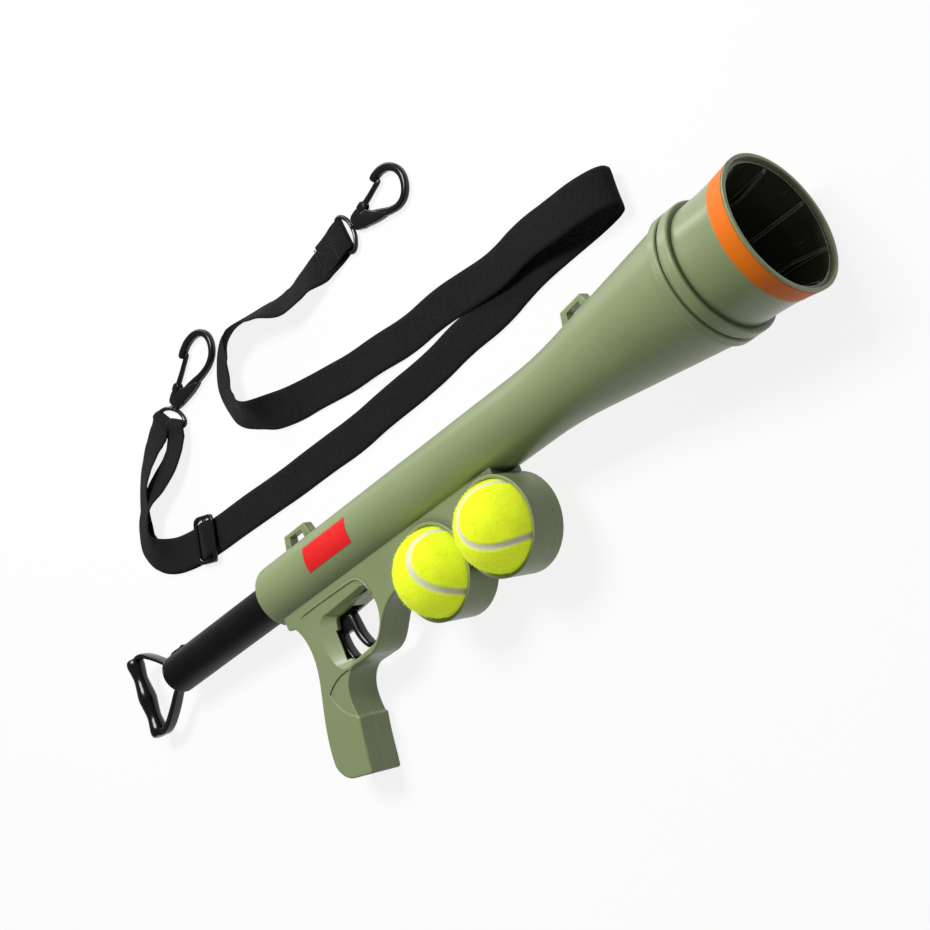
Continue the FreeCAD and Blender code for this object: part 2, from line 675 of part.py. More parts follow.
ROUTE_A = [(186.7, 227.8), (150, 222.5), (100, 219), (58, 228), (22, 222), (6, 190), (22, 158), (60, 144), (110, 137),
           (180, 129), (250, 125), (300, 124)]
ROUTE_B = [(300, 97), (240, 91), (170, 88), (100, 86), (40, 87), (-15, 89), (-70, 92), (-112, 101), (-141, 122),
           (-136, 150), (-115, 177), (-72.6, 204.6)]
ROUTE_R = [(-70, 92), (-112, 101), (-141, 122), (-136, 150), (-108, 168), (-75.5, 196.0)]
RING_A = (199.0, 229.5, 8.0)
RING_B = (-62.0, 211.0, 31.0)
SLIDE_SPOT = (-70.0, 92.0, 172.0)


def bends(route):
    """Tangent arcs at a route's corners: for each corner its arc radius and turn."""
    found = []
    for a, b, c in zip(route, route[1:], route[2:]):
        first = Vector(b[0] - a[0], b[1] - a[1], 0)
        second = Vector(c[0] - b[0], c[1] - b[1], 0)
        turn = first.getAngle(second)
        r = 0.45 * min(first.Length, second.Length) / math.tan(turn / 2)
        found.append((r, turn, first, second))
    return found


def ribbon_path(route):
    """The route with arcs in its corners, as one wire."""
    edges = []
    here = Vector(route[0][0], route[0][1], 0)
    for corner, (r, turn, first, second) in zip(route[1:-1], bends(route)):
        at = Vector(corner[0], corner[1], 0)
        back = r * math.tan(turn / 2)
        start = at - first.normalize() * back
        end = at + second.normalize() * back
        inward = (second.normalize() - first.normalize()).normalize()
        middle = at + inward * (r / math.cos(turn / 2) - r)
        edges.append(Part.LineSegment(here, start).toShape())
        edges.append(Part.Arc(start, middle, end).toShape())
        here = end
    edges.append(Part.LineSegment(here, Vector(route[-1][0], route[-1][1], 0)).toShape())
    return Part.Wire(edges)


def ribbon(route, z):
    """Flat webbing along a route: a rectangle swept on its path."""
    path = ribbon_path(route)
    ahead = Vector(route[1][0] - route[0][0], route[1][1] - route[0][1], 0).normalize()
    across = Vector(-ahead.y, ahead.x, 0) * (WEB_WIDTH / 2)
    start = Vector(route[0][0], route[0][1], 0)
    up = Vector(0, 0, WEB_THICK)
    corners = [start - across, start + across, start + across + up, start - across + up, start - across]
    swept = path.makePipeShell([Part.makePolygon(corners)], True, False)
    swept.translate(Vector(0, 0, z))
    return swept


def strap_fold():
    """Where the webbing turns back over itself: lower run, half ring and the upper run that slopes down."""
    r = FOLD_R
    t = WEB_THICK
    x0 = ROUTE_A[-1][0] - 6
    side = [
        (x0, 0), (FOLD_X, 0), ("arc", (FOLD_X + r, r), (FOLD_X, 2 * r)),
        (FOLD_X - 30, 2 * r), (x0, t), (x0, 0),
    ]
    room = [
        (x0 + 20, t), (FOLD_X, t), ("arc", (FOLD_X + r - t, r), (FOLD_X, 2 * r - t)),
        (FOLD_X - 30, 2 * r - t),
    ]
    y0 = (ROUTE_A[-1][1] + ROUTE_B[0][1]) / 2 - WEB_WIDTH / 2
    return slab(side, y0, y0 + WEB_WIDTH).cut(slab(room, y0 - 1, y0 + WEB_WIDTH + 1))


def strap_webbing():
    return ribbon(ROUTE_A, 0).fuse(ribbon(ROUTE_B, 0)).fuse(strap_fold()).removeSplitter()


def strap_return():
    return ribbon(ROUTE_R, WEB_THICK + RETURN_LIFT)


def local(shape, spot):
    """Turns a shape drawn at the origin and puts it at a spot (x, y, degrees)."""
    out = shape.copy()
    out.rotate(Vector(0, 0, 0), Vector(0, 0, 1), spot[2])
    out.translate(Vector(spot[0], spot[1], 0))
    return out


def slide_adjuster():
    """Three-bar buckle over both layers of the webbing."""
    top = 2 * WEB_THICK + RETURN_LIFT + 0.3
    frame = box(-SLIDE_LEN / 2, SLIDE_LEN / 2, -SLIDE_HALF, SLIDE_HALF, 0, top + 2.2)
    for x0 in (-SLIDE_LEN / 2 + SLIDE_BAR, SLIDE_BAR / 2):
        x1 = x0 + SLIDE_LEN / 2 - 1.5 * SLIDE_BAR
        frame = frame.cut(box(x0, x1, -SLIDE_HALF + 3, SLIDE_HALF - 3, -1, 20))
    frame = frame.cut(box(-20, 20, -SLIDE_HALF + 3, SLIDE_HALF - 3, -1, top))
    return frame


HOOK_Z = HOOK_THICK / 2
SWIVEL_R = 2.2


def swivel_ring():
    """Square wire ring for the webbing, with the headed stem that turns in the hook's base."""
    w = RING_WIRE_R
    z = HOOK_Z
    bars = []
    for u in (-RING_DEEP, 0):
        bars.append(rod_y(w, u, z, -RING_HALF, RING_HALF))
    for v in (-RING_HALF, RING_HALF):
        bars.append(rod_x(w, -RING_DEEP, 0, v, z))
        bars.append(Part.makeSphere(w, Vector(-RING_DEEP, v, z)))
        bars.append(Part.makeSphere(w, Vector(0, v, z)))
    ring = bars[0]
    for bar in bars[1:]:
        ring = ring.fuse(bar)
    stem = rod_x(SWIVEL_R - RUN_GAP, 0, 11, 0, z).fuse(rod_x(SWIVEL_R + 0.6, 11, 12.5, 0, z))
    return ring.fuse(stem)


GATE_SPOT = (19.0, 5.6)


def hook_body():
    """Snap hook: base with the swivel's bore, one arm and the round end down to its tip."""
    u = HOOK_LOOP_U
    r = HOOK_LOOP_R
    w = HOOK_THICK / 2
    tip = math.radians(112)
    lead = math.radians(-70)
    arm_out = [u + (r + w) * math.cos(lead), (r + w) * math.sin(lead)]
    arm_in = [u + (r - w) * math.cos(lead), (r - w) * math.sin(lead)]
    tip_out = [u + (r + w) * math.cos(tip), (r + w) * math.sin(tip)]
    tip_in = [u + (r - w) * math.cos(tip), (r - w) * math.sin(tip)]
    end = sheet([
        (4, -5.5), (10, -9), tuple(arm_out), ("arc", (u + r + w, 0), tuple(tip_out)),
        tuple(tip_in), ("arc", (u + r - w, 0), tuple(arm_in)),
        ("curve", (33, -9), (25, -3), (22, 2.4)), (15.5, 2.4), (15.5, 7.6), (4, 5.5),
    ], 0, HOOK_THICK)
    bore = rod_x(SWIVEL_R, -5, 10.5, 0, HOOK_Z).fuse(rod_x(SWIVEL_R + 0.9, 10.5, 13, 0, HOOK_Z))
    lugs = sheet([(15, 2), (GATE_SPOT[0] + 3, 2), (GATE_SPOT[0] + 3, 8.6), (15, 8)], 0, HOOK_THICK)
    room = box(15.5, 40, 2.4, 12, HOOK_Z - GATE_THICK / 2 - RUN_GAP, HOOK_Z + GATE_THICK / 2 + RUN_GAP)
    body = end.fuse(lugs.cut(room)).cut(bore)
    return body.cut(rod_z(1.1, GATE_SPOT[0], GATE_SPOT[1], -1, HOOK_THICK + 1))


def hook_gate():
    """Spring gate: a blade from its pin to the inside of the hook's tip."""
    tip = math.radians(112)
    r = HOOK_LOOP_R - HOOK_THICK / 2
    end = (HOOK_LOOP_U + r * math.cos(tip) - 1.0, r * math.sin(tip) - 0.4)
    z0 = HOOK_Z - GATE_THICK / 2
    blade = sheet([
        (GATE_SPOT[0] - 2, GATE_SPOT[1] + 1.4), (end[0] - 1.5, end[1] + 0.2), (end[0] + 1.5, end[1] - 3.4),
        (GATE_SPOT[0] + 2, GATE_SPOT[1] - 2.0)], z0, z0 + GATE_THICK)
    knuckle = rod_z(2.4, GATE_SPOT[0], GATE_SPOT[1], z0, z0 + GATE_THICK)
    return blade.fuse(knuckle).cut(rod_z(1.1 + SEAT_GAP, GATE_SPOT[0], GATE_SPOT[1], -1, HOOK_THICK + 1))


def gate_pin():
    return rod_z(1.1, GATE_SPOT[0], GATE_SPOT[1], 0.2, HOOK_THICK - 0.2)


def on_floor(shape):
    """Moves a shape drawn from the foot of the launcher's axis to the part's origin."""
    out = shape.copy()
    out.translate(Vector(-MIDDLE.x, -MIDDLE.y, 0))
    return out


def launcher_pieces():
    right, left = shell_pair()
    pieces = {
        "body_shell_right": right,
        "body_shell_left": left,
        "muzzle_sleeve": muzzle_sleeve(),
        "muzzle_band": muzzle_band(),
        "muzzle_liner": muzzle_liner(),
        "air_cylinder": air_cylinder(),
        "cylinder_rear_cap": ring_x(TUBE_R + RUN_GAP, BODY_R - WALL - SEAT_GAP, CAP_X, CAP_X + CAP_LEN),
        "air_nozzle": air_nozzle(),
        "guide_bush": ring_x(TUBE_R + RUN_GAP, BODY_R - WALL - SEAT_GAP, BODY_REAR_X + END_WALL,
                             BODY_REAR_X + END_WALL + BUSH_LEN),
        "plunger_tube": plunger_tube(),
        "piston_head": piston_head(),
        "piston_seal": piston_seal(),
        "main_spring": main_spring(),
        "pull_handle": pull_handle(),
        "handle_pin": handle_pin(),
        "trigger": trigger(),
        "trigger_pin": pivot_pin(PIVOT_X),
        "trigger_spring": trigger_spring(),
        "sear": sear(),
        "sear_pin": pivot_pin(SEAR_X),
        "sear_spring": sear_spring(),
        "housing_screws": screws(),
        "barrel_label": label(),
    }
    for name, (x, z) in CUPS.items():
        pieces["ball_" + name] = Part.makeSphere(BALL_R, Vector(x, BALL_Y, z))
    return pieces


def strap_pieces():
    pieces = {
        "strap_webbing": strap_webbing(),
        "strap_return": strap_return(),
        "slide_adjuster": local(slide_adjuster(), SLIDE_SPOT),
    }
    for name, spot in (("a", RING_A), ("b", RING_B)):
        pieces["hook_" + name + "_swivel"] = local(swivel_ring(), spot)
        pieces["hook_" + name + "_body"] = local(hook_body(), spot)
        pieces["hook_" + name + "_gate"] = local(hook_gate(), spot)
        pieces["hook_" + name + "_gate_pin"] = local(gate_pin(), spot)
    return pieces


def main():
    os.makedirs("parts", exist_ok=True)
    shapes = {name: placed(shape) for name, shape in launcher_pieces().items()}
    shapes.update({name: on_floor(shape) for name, shape in strap_pieces().items()})
    for name, shape in shapes.items():
        shape.exportStep("parts/" + name + ".step")
    for title, route in (("A", ROUTE_A), ("B", ROUTE_B), ("R", ROUTE_R)):
        print(title, [round(b[0]) for b in bends(route)])
    return shapes


if __name__ == "__main__":
    main()
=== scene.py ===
import json
import math

import bmesh
import bpy
from mathutils import Matrix, Quaternion, Vector, noise
from mathutils.kdtree import KDTree
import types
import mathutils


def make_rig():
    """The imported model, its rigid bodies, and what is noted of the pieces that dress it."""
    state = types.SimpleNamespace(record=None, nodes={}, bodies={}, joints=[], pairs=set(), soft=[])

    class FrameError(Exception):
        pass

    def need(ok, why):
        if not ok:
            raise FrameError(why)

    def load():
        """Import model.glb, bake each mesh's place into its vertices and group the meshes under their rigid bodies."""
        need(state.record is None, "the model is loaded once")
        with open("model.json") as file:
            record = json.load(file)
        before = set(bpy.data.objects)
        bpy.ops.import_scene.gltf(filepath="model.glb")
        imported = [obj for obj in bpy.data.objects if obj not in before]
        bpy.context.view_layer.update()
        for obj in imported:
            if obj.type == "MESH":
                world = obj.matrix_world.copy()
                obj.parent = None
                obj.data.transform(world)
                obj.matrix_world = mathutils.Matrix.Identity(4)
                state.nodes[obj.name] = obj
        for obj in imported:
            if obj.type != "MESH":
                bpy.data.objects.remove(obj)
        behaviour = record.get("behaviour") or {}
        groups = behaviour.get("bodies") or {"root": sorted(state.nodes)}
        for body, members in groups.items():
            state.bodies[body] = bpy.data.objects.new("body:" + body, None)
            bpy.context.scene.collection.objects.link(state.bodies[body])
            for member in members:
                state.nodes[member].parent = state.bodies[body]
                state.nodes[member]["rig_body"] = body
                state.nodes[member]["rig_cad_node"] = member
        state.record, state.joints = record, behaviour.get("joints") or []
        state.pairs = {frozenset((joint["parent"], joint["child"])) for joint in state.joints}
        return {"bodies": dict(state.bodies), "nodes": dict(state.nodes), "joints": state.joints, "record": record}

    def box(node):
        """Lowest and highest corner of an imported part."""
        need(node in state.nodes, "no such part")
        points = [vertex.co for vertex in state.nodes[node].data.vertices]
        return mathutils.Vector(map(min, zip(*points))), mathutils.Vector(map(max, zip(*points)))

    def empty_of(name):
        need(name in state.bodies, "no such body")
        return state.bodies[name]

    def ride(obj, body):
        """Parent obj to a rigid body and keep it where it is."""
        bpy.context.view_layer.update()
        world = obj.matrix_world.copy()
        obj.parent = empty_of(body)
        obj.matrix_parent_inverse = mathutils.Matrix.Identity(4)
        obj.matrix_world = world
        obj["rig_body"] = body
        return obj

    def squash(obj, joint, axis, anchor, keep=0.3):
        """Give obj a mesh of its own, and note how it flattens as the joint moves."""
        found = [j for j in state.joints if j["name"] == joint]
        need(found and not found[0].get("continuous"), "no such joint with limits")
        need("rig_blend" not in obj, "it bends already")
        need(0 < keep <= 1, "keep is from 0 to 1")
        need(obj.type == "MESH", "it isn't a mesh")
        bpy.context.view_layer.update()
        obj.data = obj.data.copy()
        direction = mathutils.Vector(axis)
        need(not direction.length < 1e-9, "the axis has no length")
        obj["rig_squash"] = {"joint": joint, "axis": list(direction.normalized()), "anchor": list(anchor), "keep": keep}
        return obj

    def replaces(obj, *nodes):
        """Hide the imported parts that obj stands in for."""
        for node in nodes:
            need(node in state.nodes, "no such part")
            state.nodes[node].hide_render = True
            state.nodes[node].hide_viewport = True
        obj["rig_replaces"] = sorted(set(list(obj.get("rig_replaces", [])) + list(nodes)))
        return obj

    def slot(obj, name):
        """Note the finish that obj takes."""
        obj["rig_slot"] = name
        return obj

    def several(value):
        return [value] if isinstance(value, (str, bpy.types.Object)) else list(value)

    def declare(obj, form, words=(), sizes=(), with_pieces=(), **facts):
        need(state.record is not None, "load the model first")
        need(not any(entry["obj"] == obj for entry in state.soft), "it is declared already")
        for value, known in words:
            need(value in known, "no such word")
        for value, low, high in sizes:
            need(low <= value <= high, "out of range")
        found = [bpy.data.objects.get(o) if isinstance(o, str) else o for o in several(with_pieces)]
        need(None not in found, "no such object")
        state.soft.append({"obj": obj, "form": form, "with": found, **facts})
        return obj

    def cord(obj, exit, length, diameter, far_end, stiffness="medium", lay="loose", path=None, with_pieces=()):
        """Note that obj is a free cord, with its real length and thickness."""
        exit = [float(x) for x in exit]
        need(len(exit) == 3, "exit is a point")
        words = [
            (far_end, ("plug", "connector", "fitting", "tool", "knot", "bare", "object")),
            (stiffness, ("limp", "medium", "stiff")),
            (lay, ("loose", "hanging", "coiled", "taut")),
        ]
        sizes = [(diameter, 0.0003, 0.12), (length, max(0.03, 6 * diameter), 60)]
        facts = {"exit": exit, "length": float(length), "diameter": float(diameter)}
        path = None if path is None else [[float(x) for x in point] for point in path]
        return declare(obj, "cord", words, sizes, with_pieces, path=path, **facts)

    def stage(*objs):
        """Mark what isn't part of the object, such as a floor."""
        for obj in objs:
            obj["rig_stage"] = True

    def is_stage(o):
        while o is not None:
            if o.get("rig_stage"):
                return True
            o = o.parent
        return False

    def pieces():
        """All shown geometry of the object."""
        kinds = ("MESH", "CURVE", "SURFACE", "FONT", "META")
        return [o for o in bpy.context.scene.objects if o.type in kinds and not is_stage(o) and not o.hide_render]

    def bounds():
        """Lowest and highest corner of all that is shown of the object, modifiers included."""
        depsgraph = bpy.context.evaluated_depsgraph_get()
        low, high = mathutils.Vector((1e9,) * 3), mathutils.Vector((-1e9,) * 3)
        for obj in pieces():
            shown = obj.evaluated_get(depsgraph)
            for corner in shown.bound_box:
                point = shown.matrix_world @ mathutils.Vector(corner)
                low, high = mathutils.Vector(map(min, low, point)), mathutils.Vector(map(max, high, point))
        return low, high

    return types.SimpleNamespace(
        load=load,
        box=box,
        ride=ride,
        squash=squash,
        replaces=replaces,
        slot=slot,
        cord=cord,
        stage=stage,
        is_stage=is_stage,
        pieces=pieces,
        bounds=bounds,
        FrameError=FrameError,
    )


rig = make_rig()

bl_info = {
    "name": "Tennis Ball Launcher",
    "version": (1, 0, 0),
    "blender": (4, 5, 0),
    "location": "View3D > Sidebar > Ball Launcher",
    "description": "Pump launcher for tennis balls with its ball cups, pull handle and clip-on webbing strap",
    "category": "Object",
}

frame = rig.load()
CAD_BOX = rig.bounds()

# The launcher's own frame, in millimetres: X to the muzzle, Y to its left, Z to its sights.
# LAY turns it onto its left side, and MIDDLE is the foot of the launcher's axis on the floor.
LAY = Matrix((
    (0.99896854, 0.04527836, -0.00342429),
    (0.0, 0.07541218, 0.99715245),
    (0.04540766, -0.99612392, 0.0753344),
))
MIDDLE = Vector((185.85, -56.15, -24.83799))
MM = 0.001
UP = Vector((0, 0, 1))

# A rectangle's corners, as its sides' signs and the angle where each corner's arc starts.
CORNERS = ((1, 1, 0), (-1, 1, 90), (-1, -1, 180), (1, -1, 270))


def laid(x, y, z):
    """A point of the launcher's own frame, on the floor, in metres."""
    return (LAY @ Vector((x, y, z)) - MIDDLE) * MM


def laid_way(x, y, z):
    """A direction of the launcher's own frame, on the floor."""
    return (LAY @ Vector((x, y, z))).normalized()


def floor_point(x, y, z=0.0):
    """A point measured from the foot of the launcher's axis, in metres."""
    return Vector((x - MIDDLE.x, y - MIDDLE.y, z)) * MM


# Shapes


def placed(name, mesh, smooth=False):
    """An object in the scene for this mesh."""
    if smooth:
        mesh.polygons.foreach_set("use_smooth", [True] * len(mesh.polygons))
    piece = bpy.data.objects.new(name, mesh)
    bpy.context.scene.collection.objects.link(piece)
    return piece


def from_bmesh(name, bm, smooth=False):
    """An object in the scene for this bmesh, which is freed."""
    mesh = bpy.data.meshes.new(name)
    bm.to_mesh(mesh)
    bm.free()
    return placed(name, mesh, smooth)


def new_piece(name, verts, faces, smooth=True):
    """A mesh object with its place in its vertices."""
    mesh = bpy.data.meshes.new(name)
    mesh.from_pydata([tuple(v) for v in verts], [], faces)
    mesh.validate()
    return placed(name, mesh, smooth)


def outward(piece, merge=True):
    """Turns every face outward, after its doubles are merged."""
    bm = bmesh.new()
    bm.from_mesh(piece.data)
    if merge:
        bmesh.ops.remove_doubles(bm, verts=bm.verts, dist=1e-6)
    bmesh.ops.recalc_face_normals(bm, faces=bm.faces)
    bm.to_mesh(piece.data)
    bm.free()
    return piece


def plain_mesh(piece):
    """Turns a piece with live modifiers into a plain mesh."""
    bpy.context.view_layer.update()
    seen = piece.evaluated_get(bpy.context.evaluated_depsgraph_get())
    mesh = bpy.data.meshes.new_from_object(seen)
    piece.modifiers.clear()
    old = piece.data
    piece.data = mesh
    mesh.name = piece.name
    if old.users == 0:
        bpy.data.meshes.remove(old)
    return piece


def joined(name, pieces):
    """One object from several meshes."""
    bm = bmesh.new()
    for piece in pieces:
        bm.from_mesh(piece.data)
    whole = from_bmesh(name, bm)
    for piece in pieces:
        old = piece.data
        bpy.data.objects.remove(piece)
        bpy.data.meshes.remove(old)
    return whole


def eased(t):
    """A share from 0 to 1 that starts and ends gently."""
    return t * t * (3 - 2 * t)


def smooth_line(points, steps, closed=False):
    """Points on a smooth curve through these points."""
    n = len(points)
    out = []
    spans = n if closed else n - 1
    for i in range(spans):
        if closed:
            a, b, c, d = (points[(i + k) % n] for k in (-1, 0, 1, 2))
        else:
            a, b, c, d = points[max(i - 1, 0)], points[i], points[i + 1], points[min(i + 2, n - 1)]
        for k in range(steps):
            t = k / steps
            square = (2 * a - 5 * b + 4 * c - d) * t * t
            out.append(0.5 * (2 * b + (c - a) * t + square + (3 * b - a - 3 * c + d) * t ** 3))
    if not closed:
        out.append(points[-1].copy())
    return out


def rounded_section(wide, high, corner, steps=3):
    """A closed rounded rectangle as (across, up) pairs."""
    corner = min(corner, wide / 2, high / 2)
    out = []
    for sx, sy, start in CORNERS:
        for k in range(steps + 1):
            a = math.radians(start + 90 * k / steps)
            out.append((sx * (wide / 2 - corner) + corner * math.cos(a),
                        sy * (high / 2 - corner) + corner * math.sin(a)))
    return out


def skin_faces(rows, row, closed=False):
    """Faces round and along rows of points, with a face at each end unless the rows are closed."""
    faces = []
    for i in range(rows if closed else rows - 1):
        after = (i + 1) % rows * row
        for k in range(row):
            turn = (k + 1) % row
            faces.append((i * row + k, i * row + turn, after + turn, after + k))
    if not closed:
        faces.append(tuple(reversed(range(row))))
        faces.append(tuple(range((rows - 1) * row, rows * row)))
    return faces


def way_at(line, i):
    """The way ahead at one point of an open line."""
    return (line[min(i + 1, len(line) - 1)] - line[max(i - 1, 0)]).normalized()


def square_to(ahead, side):
    """The across way nearest to side that is square to the way ahead."""
    return (side - ahead * side.dot(ahead)).normalized()


def swept(name, line, sections, side, closed=False):
    """A skin along a line, from one (across, up) section or one for each point. Side is the across way."""
    n = len(line)
    verts = []
    for i, point in enumerate(line):
        ahead = (line[(i + 1) % n] - line[i - 1]).normalized() if closed else way_at(line, i)
        across = square_to(ahead, side)
        up = ahead.cross(across)
        section = sections[i] if isinstance(sections[0], list) else sections
        verts += [point + across * u + up * v for u, v in section]
    return outward(new_piece(name, verts, skin_faces(n, len(verts) // n, closed)))


def lathed(name, profile, centre, axis, segments=48):
    """A body of revolution from (along, radius) pairs in millimetres."""
    axis = axis.normalized()
    first = axis.orthogonal().normalized()
    second = axis.cross(first)
    verts = []
    for along, radius in profile:
        for k in range(segments):
            a = 2 * math.pi * k / segments
            out = first * math.cos(a) + second * math.sin(a)
            verts.append(centre + axis * (along * MM) + out * max(radius * MM, 1e-5))
    return outward(new_piece(name, verts, skin_faces(len(profile), segments)))


def plate_piece(name, outline, low, high, bevel, to_world):
    """A flat (u, v) outline given a thickness and rounded rims. to_world places its (u, v, w)."""
    bm = bmesh.new()
    face = bm.faces.new([bm.verts.new((u, v, low)) for u, v in outline])
    grown = bmesh.ops.extrude_face_region(bm, geom=[face])["geom"]
    top = [part for part in grown if isinstance(part, bmesh.types.BMVert)]
    bmesh.ops.translate(bm, vec=(0, 0, high - low), verts=top)
    bmesh.ops.recalc_face_normals(bm, faces=bm.faces)
    rims = [e for e in bm.edges if len(e.link_faces) == 2 and e.calc_face_angle(0) > 0.6]
    bmesh.ops.bevel(bm, geom=rims, offset=bevel, segments=3, profile=0.5, affect="EDGES", clamp_overlap=True)
    for v in bm.verts:
        v.co = to_world(*v.co)
    bmesh.ops.recalc_face_normals(bm, faces=bm.faces)
    return from_bmesh(name, bm, smooth=True)


# Node trees


def fill(tree, node, inputs):
    """Sets a node's inputs to numbers and colours, or links them to other nodes' outputs."""
    for key, value in inputs.items():
        if isinstance(value, bpy.types.NodeSocket):
            tree.links.new(value, node.inputs[key])
        else:
            node.inputs[key].default_value = value


def add(tree, kind, inputs, **settings):
    """A node with its settings and inputs: its outputs."""
    node = tree.nodes.new(kind)
    for key, value in settings.items():
        setattr(node, key, value)
    fill(tree, node, inputs)
    return node.outputs


def calc(tree, operation, *values, clamp=False):
    """A sum's result from numbers and other nodes' outputs."""
    return add(tree, "ShaderNodeMath", dict(enumerate(values)), operation=operation, use_clamp=clamp)[0]


def mixed(tree, share, first, second):
    """A colour between two colours."""
    return add(tree, "ShaderNodeMix", {0: share, 6: first, 7: second}, data_type="RGBA")[2]


def ranged(tree, value, low, high, to_low=0.0):
    """A value spread from to_low to 1 between low and high, and held beyond them."""
    inputs = {"Value": value, "From Min": low, "From Max": high, "To Min": to_low}
    return add(tree, "ShaderNodeMapRange", inputs)["Result"]


def noisy(tree, place, scale, detail, roughness=0.5):
    """Smooth noise at a place."""
    inputs = {"Vector": place, "Scale": scale, "Detail": detail, "Roughness": roughness}
    return add(tree, "ShaderNodeTexNoise", inputs)["Fac"]


def toned(tree, color, factor):
    """A colour times a factor."""
    return add(tree, "ShaderNodeVectorMath", {0: color, "Scale": factor}, operation="SCALE")[0]


def vector(tree, **parts):
    """A vector from its parts."""
    return add(tree, "ShaderNodeCombineXYZ", parts)[0]


def object_place(tree):
    """A piece's own coordinates."""
    return add(tree, "ShaderNodeTexCoord", {})["Object"]


def new_group(name, kind, inputs, outputs):
    """A node group with its inputs and outputs. An input comes with its default value, or with its kind."""
    tree = bpy.data.node_groups.new(name, kind)
    for title, value in inputs.items():
        named = isinstance(value, str)
        socket_kind = value if named else {float: "Float", int: "Int", tuple: "Color"}[type(value)]
        socket = tree.interface.new_socket(title, in_out="INPUT", socket_type="NodeSocket" + socket_kind)
        if not named:
            socket.default_value = value
    for title, socket_kind in outputs.items():
        tree.interface.new_socket(title, in_out="OUTPUT", socket_type="NodeSocket" + socket_kind)
    return tree, tree.nodes.new("NodeGroupInput").outputs, tree.nodes.new("NodeGroupOutput")


GROUPS = {}


def shared(make):
    """A group that is built once."""
    if make not in GROUPS:
        GROUPS[make] = make()
    return GROUPS[make]


# Shared shader groups


def grain_group():
    """Fine moulded grain over slow waves: a height."""
    tree, given, out = new_group(
        "Moulded Grain", "ShaderNodeTree",
        {"Grain Scale": 900.0, "Wave Scale": 35.0, "Wave Share": 0.5}, {"Height": "Float"})
    place = object_place(tree)
    fine = noisy(tree, place, given["Grain Scale"], 3.0, 0.6)
    slow = noisy(tree, place, given["Wave Scale"], 2.0)
    mix = add(tree, "ShaderNodeMix", {0: given["Wave Share"], 2: fine, 3: slow}, data_type="FLOAT")
    fill(tree, out, {"Height": mix[0]})
    return tree


def wear_and_highlight_group():
    """Handling marks and painted highlights: a colour and a roughness with soft patches and fine scuffs, and pale
    painted highlights along edges.
    """
    tree, given, out = new_group(
        "Handling Marks", "ShaderNodeTree",
        {"Color": (0.5, 0.5, 0.5, 1), "Worn Color": (0.7, 0.7, 0.7, 1), "Roughness": 0.5, "Patches": 0.1,
         "Scuffs": 0.1, "Edges": 0.3, "Edge Size": 0.0008},
        {"Color": "Color", "Roughness": "Float"})
    place = object_place(tree)
    patch = ranged(tree, noisy(tree, place, 22.0, 4.0, 0.55), 0.3, 0.7, -1.0)
    patch = calc(tree, "MULTIPLY", patch, given["Patches"])
    stretched = add(tree, "ShaderNodeMapping", {"Vector": place, "Scale": (60.0, 400.0, 400.0)})["Vector"]
    scuff = ranged(tree, noisy(tree, stretched, 1.0, 2.0), 0.66, 0.82)
    scuff = calc(tree, "MULTIPLY", scuff, given["Scuffs"])
    # Painted highlight: the colour goes pale where the rounded normal turns away from the flat one, along edges.
    rounded = add(tree, "ShaderNodeBevel", {"Radius": given["Edge Size"]}, samples=4)["Normal"]
    flat = add(tree, "ShaderNodeNewGeometry", {})["Normal"]
    turn = add(tree, "ShaderNodeVectorMath", {0: rounded, 1: flat}, operation="DOT_PRODUCT")["Value"]
    edge = calc(tree, "MULTIPLY", ranged(tree, turn, 0.98, 0.80), given["Edges"])
    # One pale colour marks both the scuffs, which are wear, and the edges, where it is a painted highlight.
    wear_and_highlight = calc(tree, "ADD", edge, scuff, clamp=True)
    tint = toned(tree, given["Color"], calc(tree, "ADD", patch, 1.0))
    rough = calc(tree, "MULTIPLY_ADD", patch, 0.6, given["Roughness"])
    fill(tree, out, {
        "Color": mixed(tree, wear_and_highlight, tint, given["Worn Color"]),
        "Roughness": calc(tree, "MULTIPLY_ADD", scuff, 0.25, rough, clamp=True),
    })
    return tree


def weave_group():
    """Flat webbing's weave from its UV map, U across and V along, in metres: a height and a shade."""
    tree, given, out = new_group(
        "Webbing Weave", "ShaderNodeTree", {"Rib Pitch": 0.0011}, {"Height": "Float", "Shade": "Float"})
    uv = add(tree, "ShaderNodeUVMap", {}, uv_map="weave")["UV"]
    apart = add(tree, "ShaderNodeSeparateXYZ", {0: uv})

    def wave(source, factor, shift=0.0):
        """A sine of so many waves to a rib."""
        turns = calc(tree, "DIVIDE", source, given["Rib Pitch"])
        angle = calc(tree, "MULTIPLY", turns, 2 * math.pi * factor)
        return calc(tree, "SINE", calc(tree, "ADD", angle, shift))

    across = wave(apart["X"], 0.8)
    half_turn = calc(tree, "MULTIPLY", calc(tree, "SIGN", across), math.pi / 2)
    along = wave(apart["Y"], 1.0, half_turn)
    height = calc(tree, "MULTIPLY_ADD", along, 0.5, calc(tree, "ABSOLUTE", across))
    shade = calc(tree, "MULTIPLY_ADD", height, 0.25, noisy(tree, uv, 260.0, 3.0))
    fill(tree, out, {"Height": height, "Shade": shade})
    return tree


def crease_group():
    """Darkens a colour in grooves and corners."""
    tree, given, out = new_group(
        "Crease Shade", "ShaderNodeTree",
        {"Color": (0.5, 0.5, 0.5, 1), "Reach": 0.006, "Strength": 0.6}, {"Color": "Color"})
    near = add(tree, "ShaderNodeAmbientOcclusion", {"Distance": given["Reach"]}, samples=6)["AO"]
    share = calc(tree, "MULTIPLY", ranged(tree, near, 0.9, 0.35), given["Strength"])
    fill(tree, out, {"Color": toned(tree, given["Color"], calc(tree, "SUBTRACT", 1.0, share))})
    return tree


# Materials


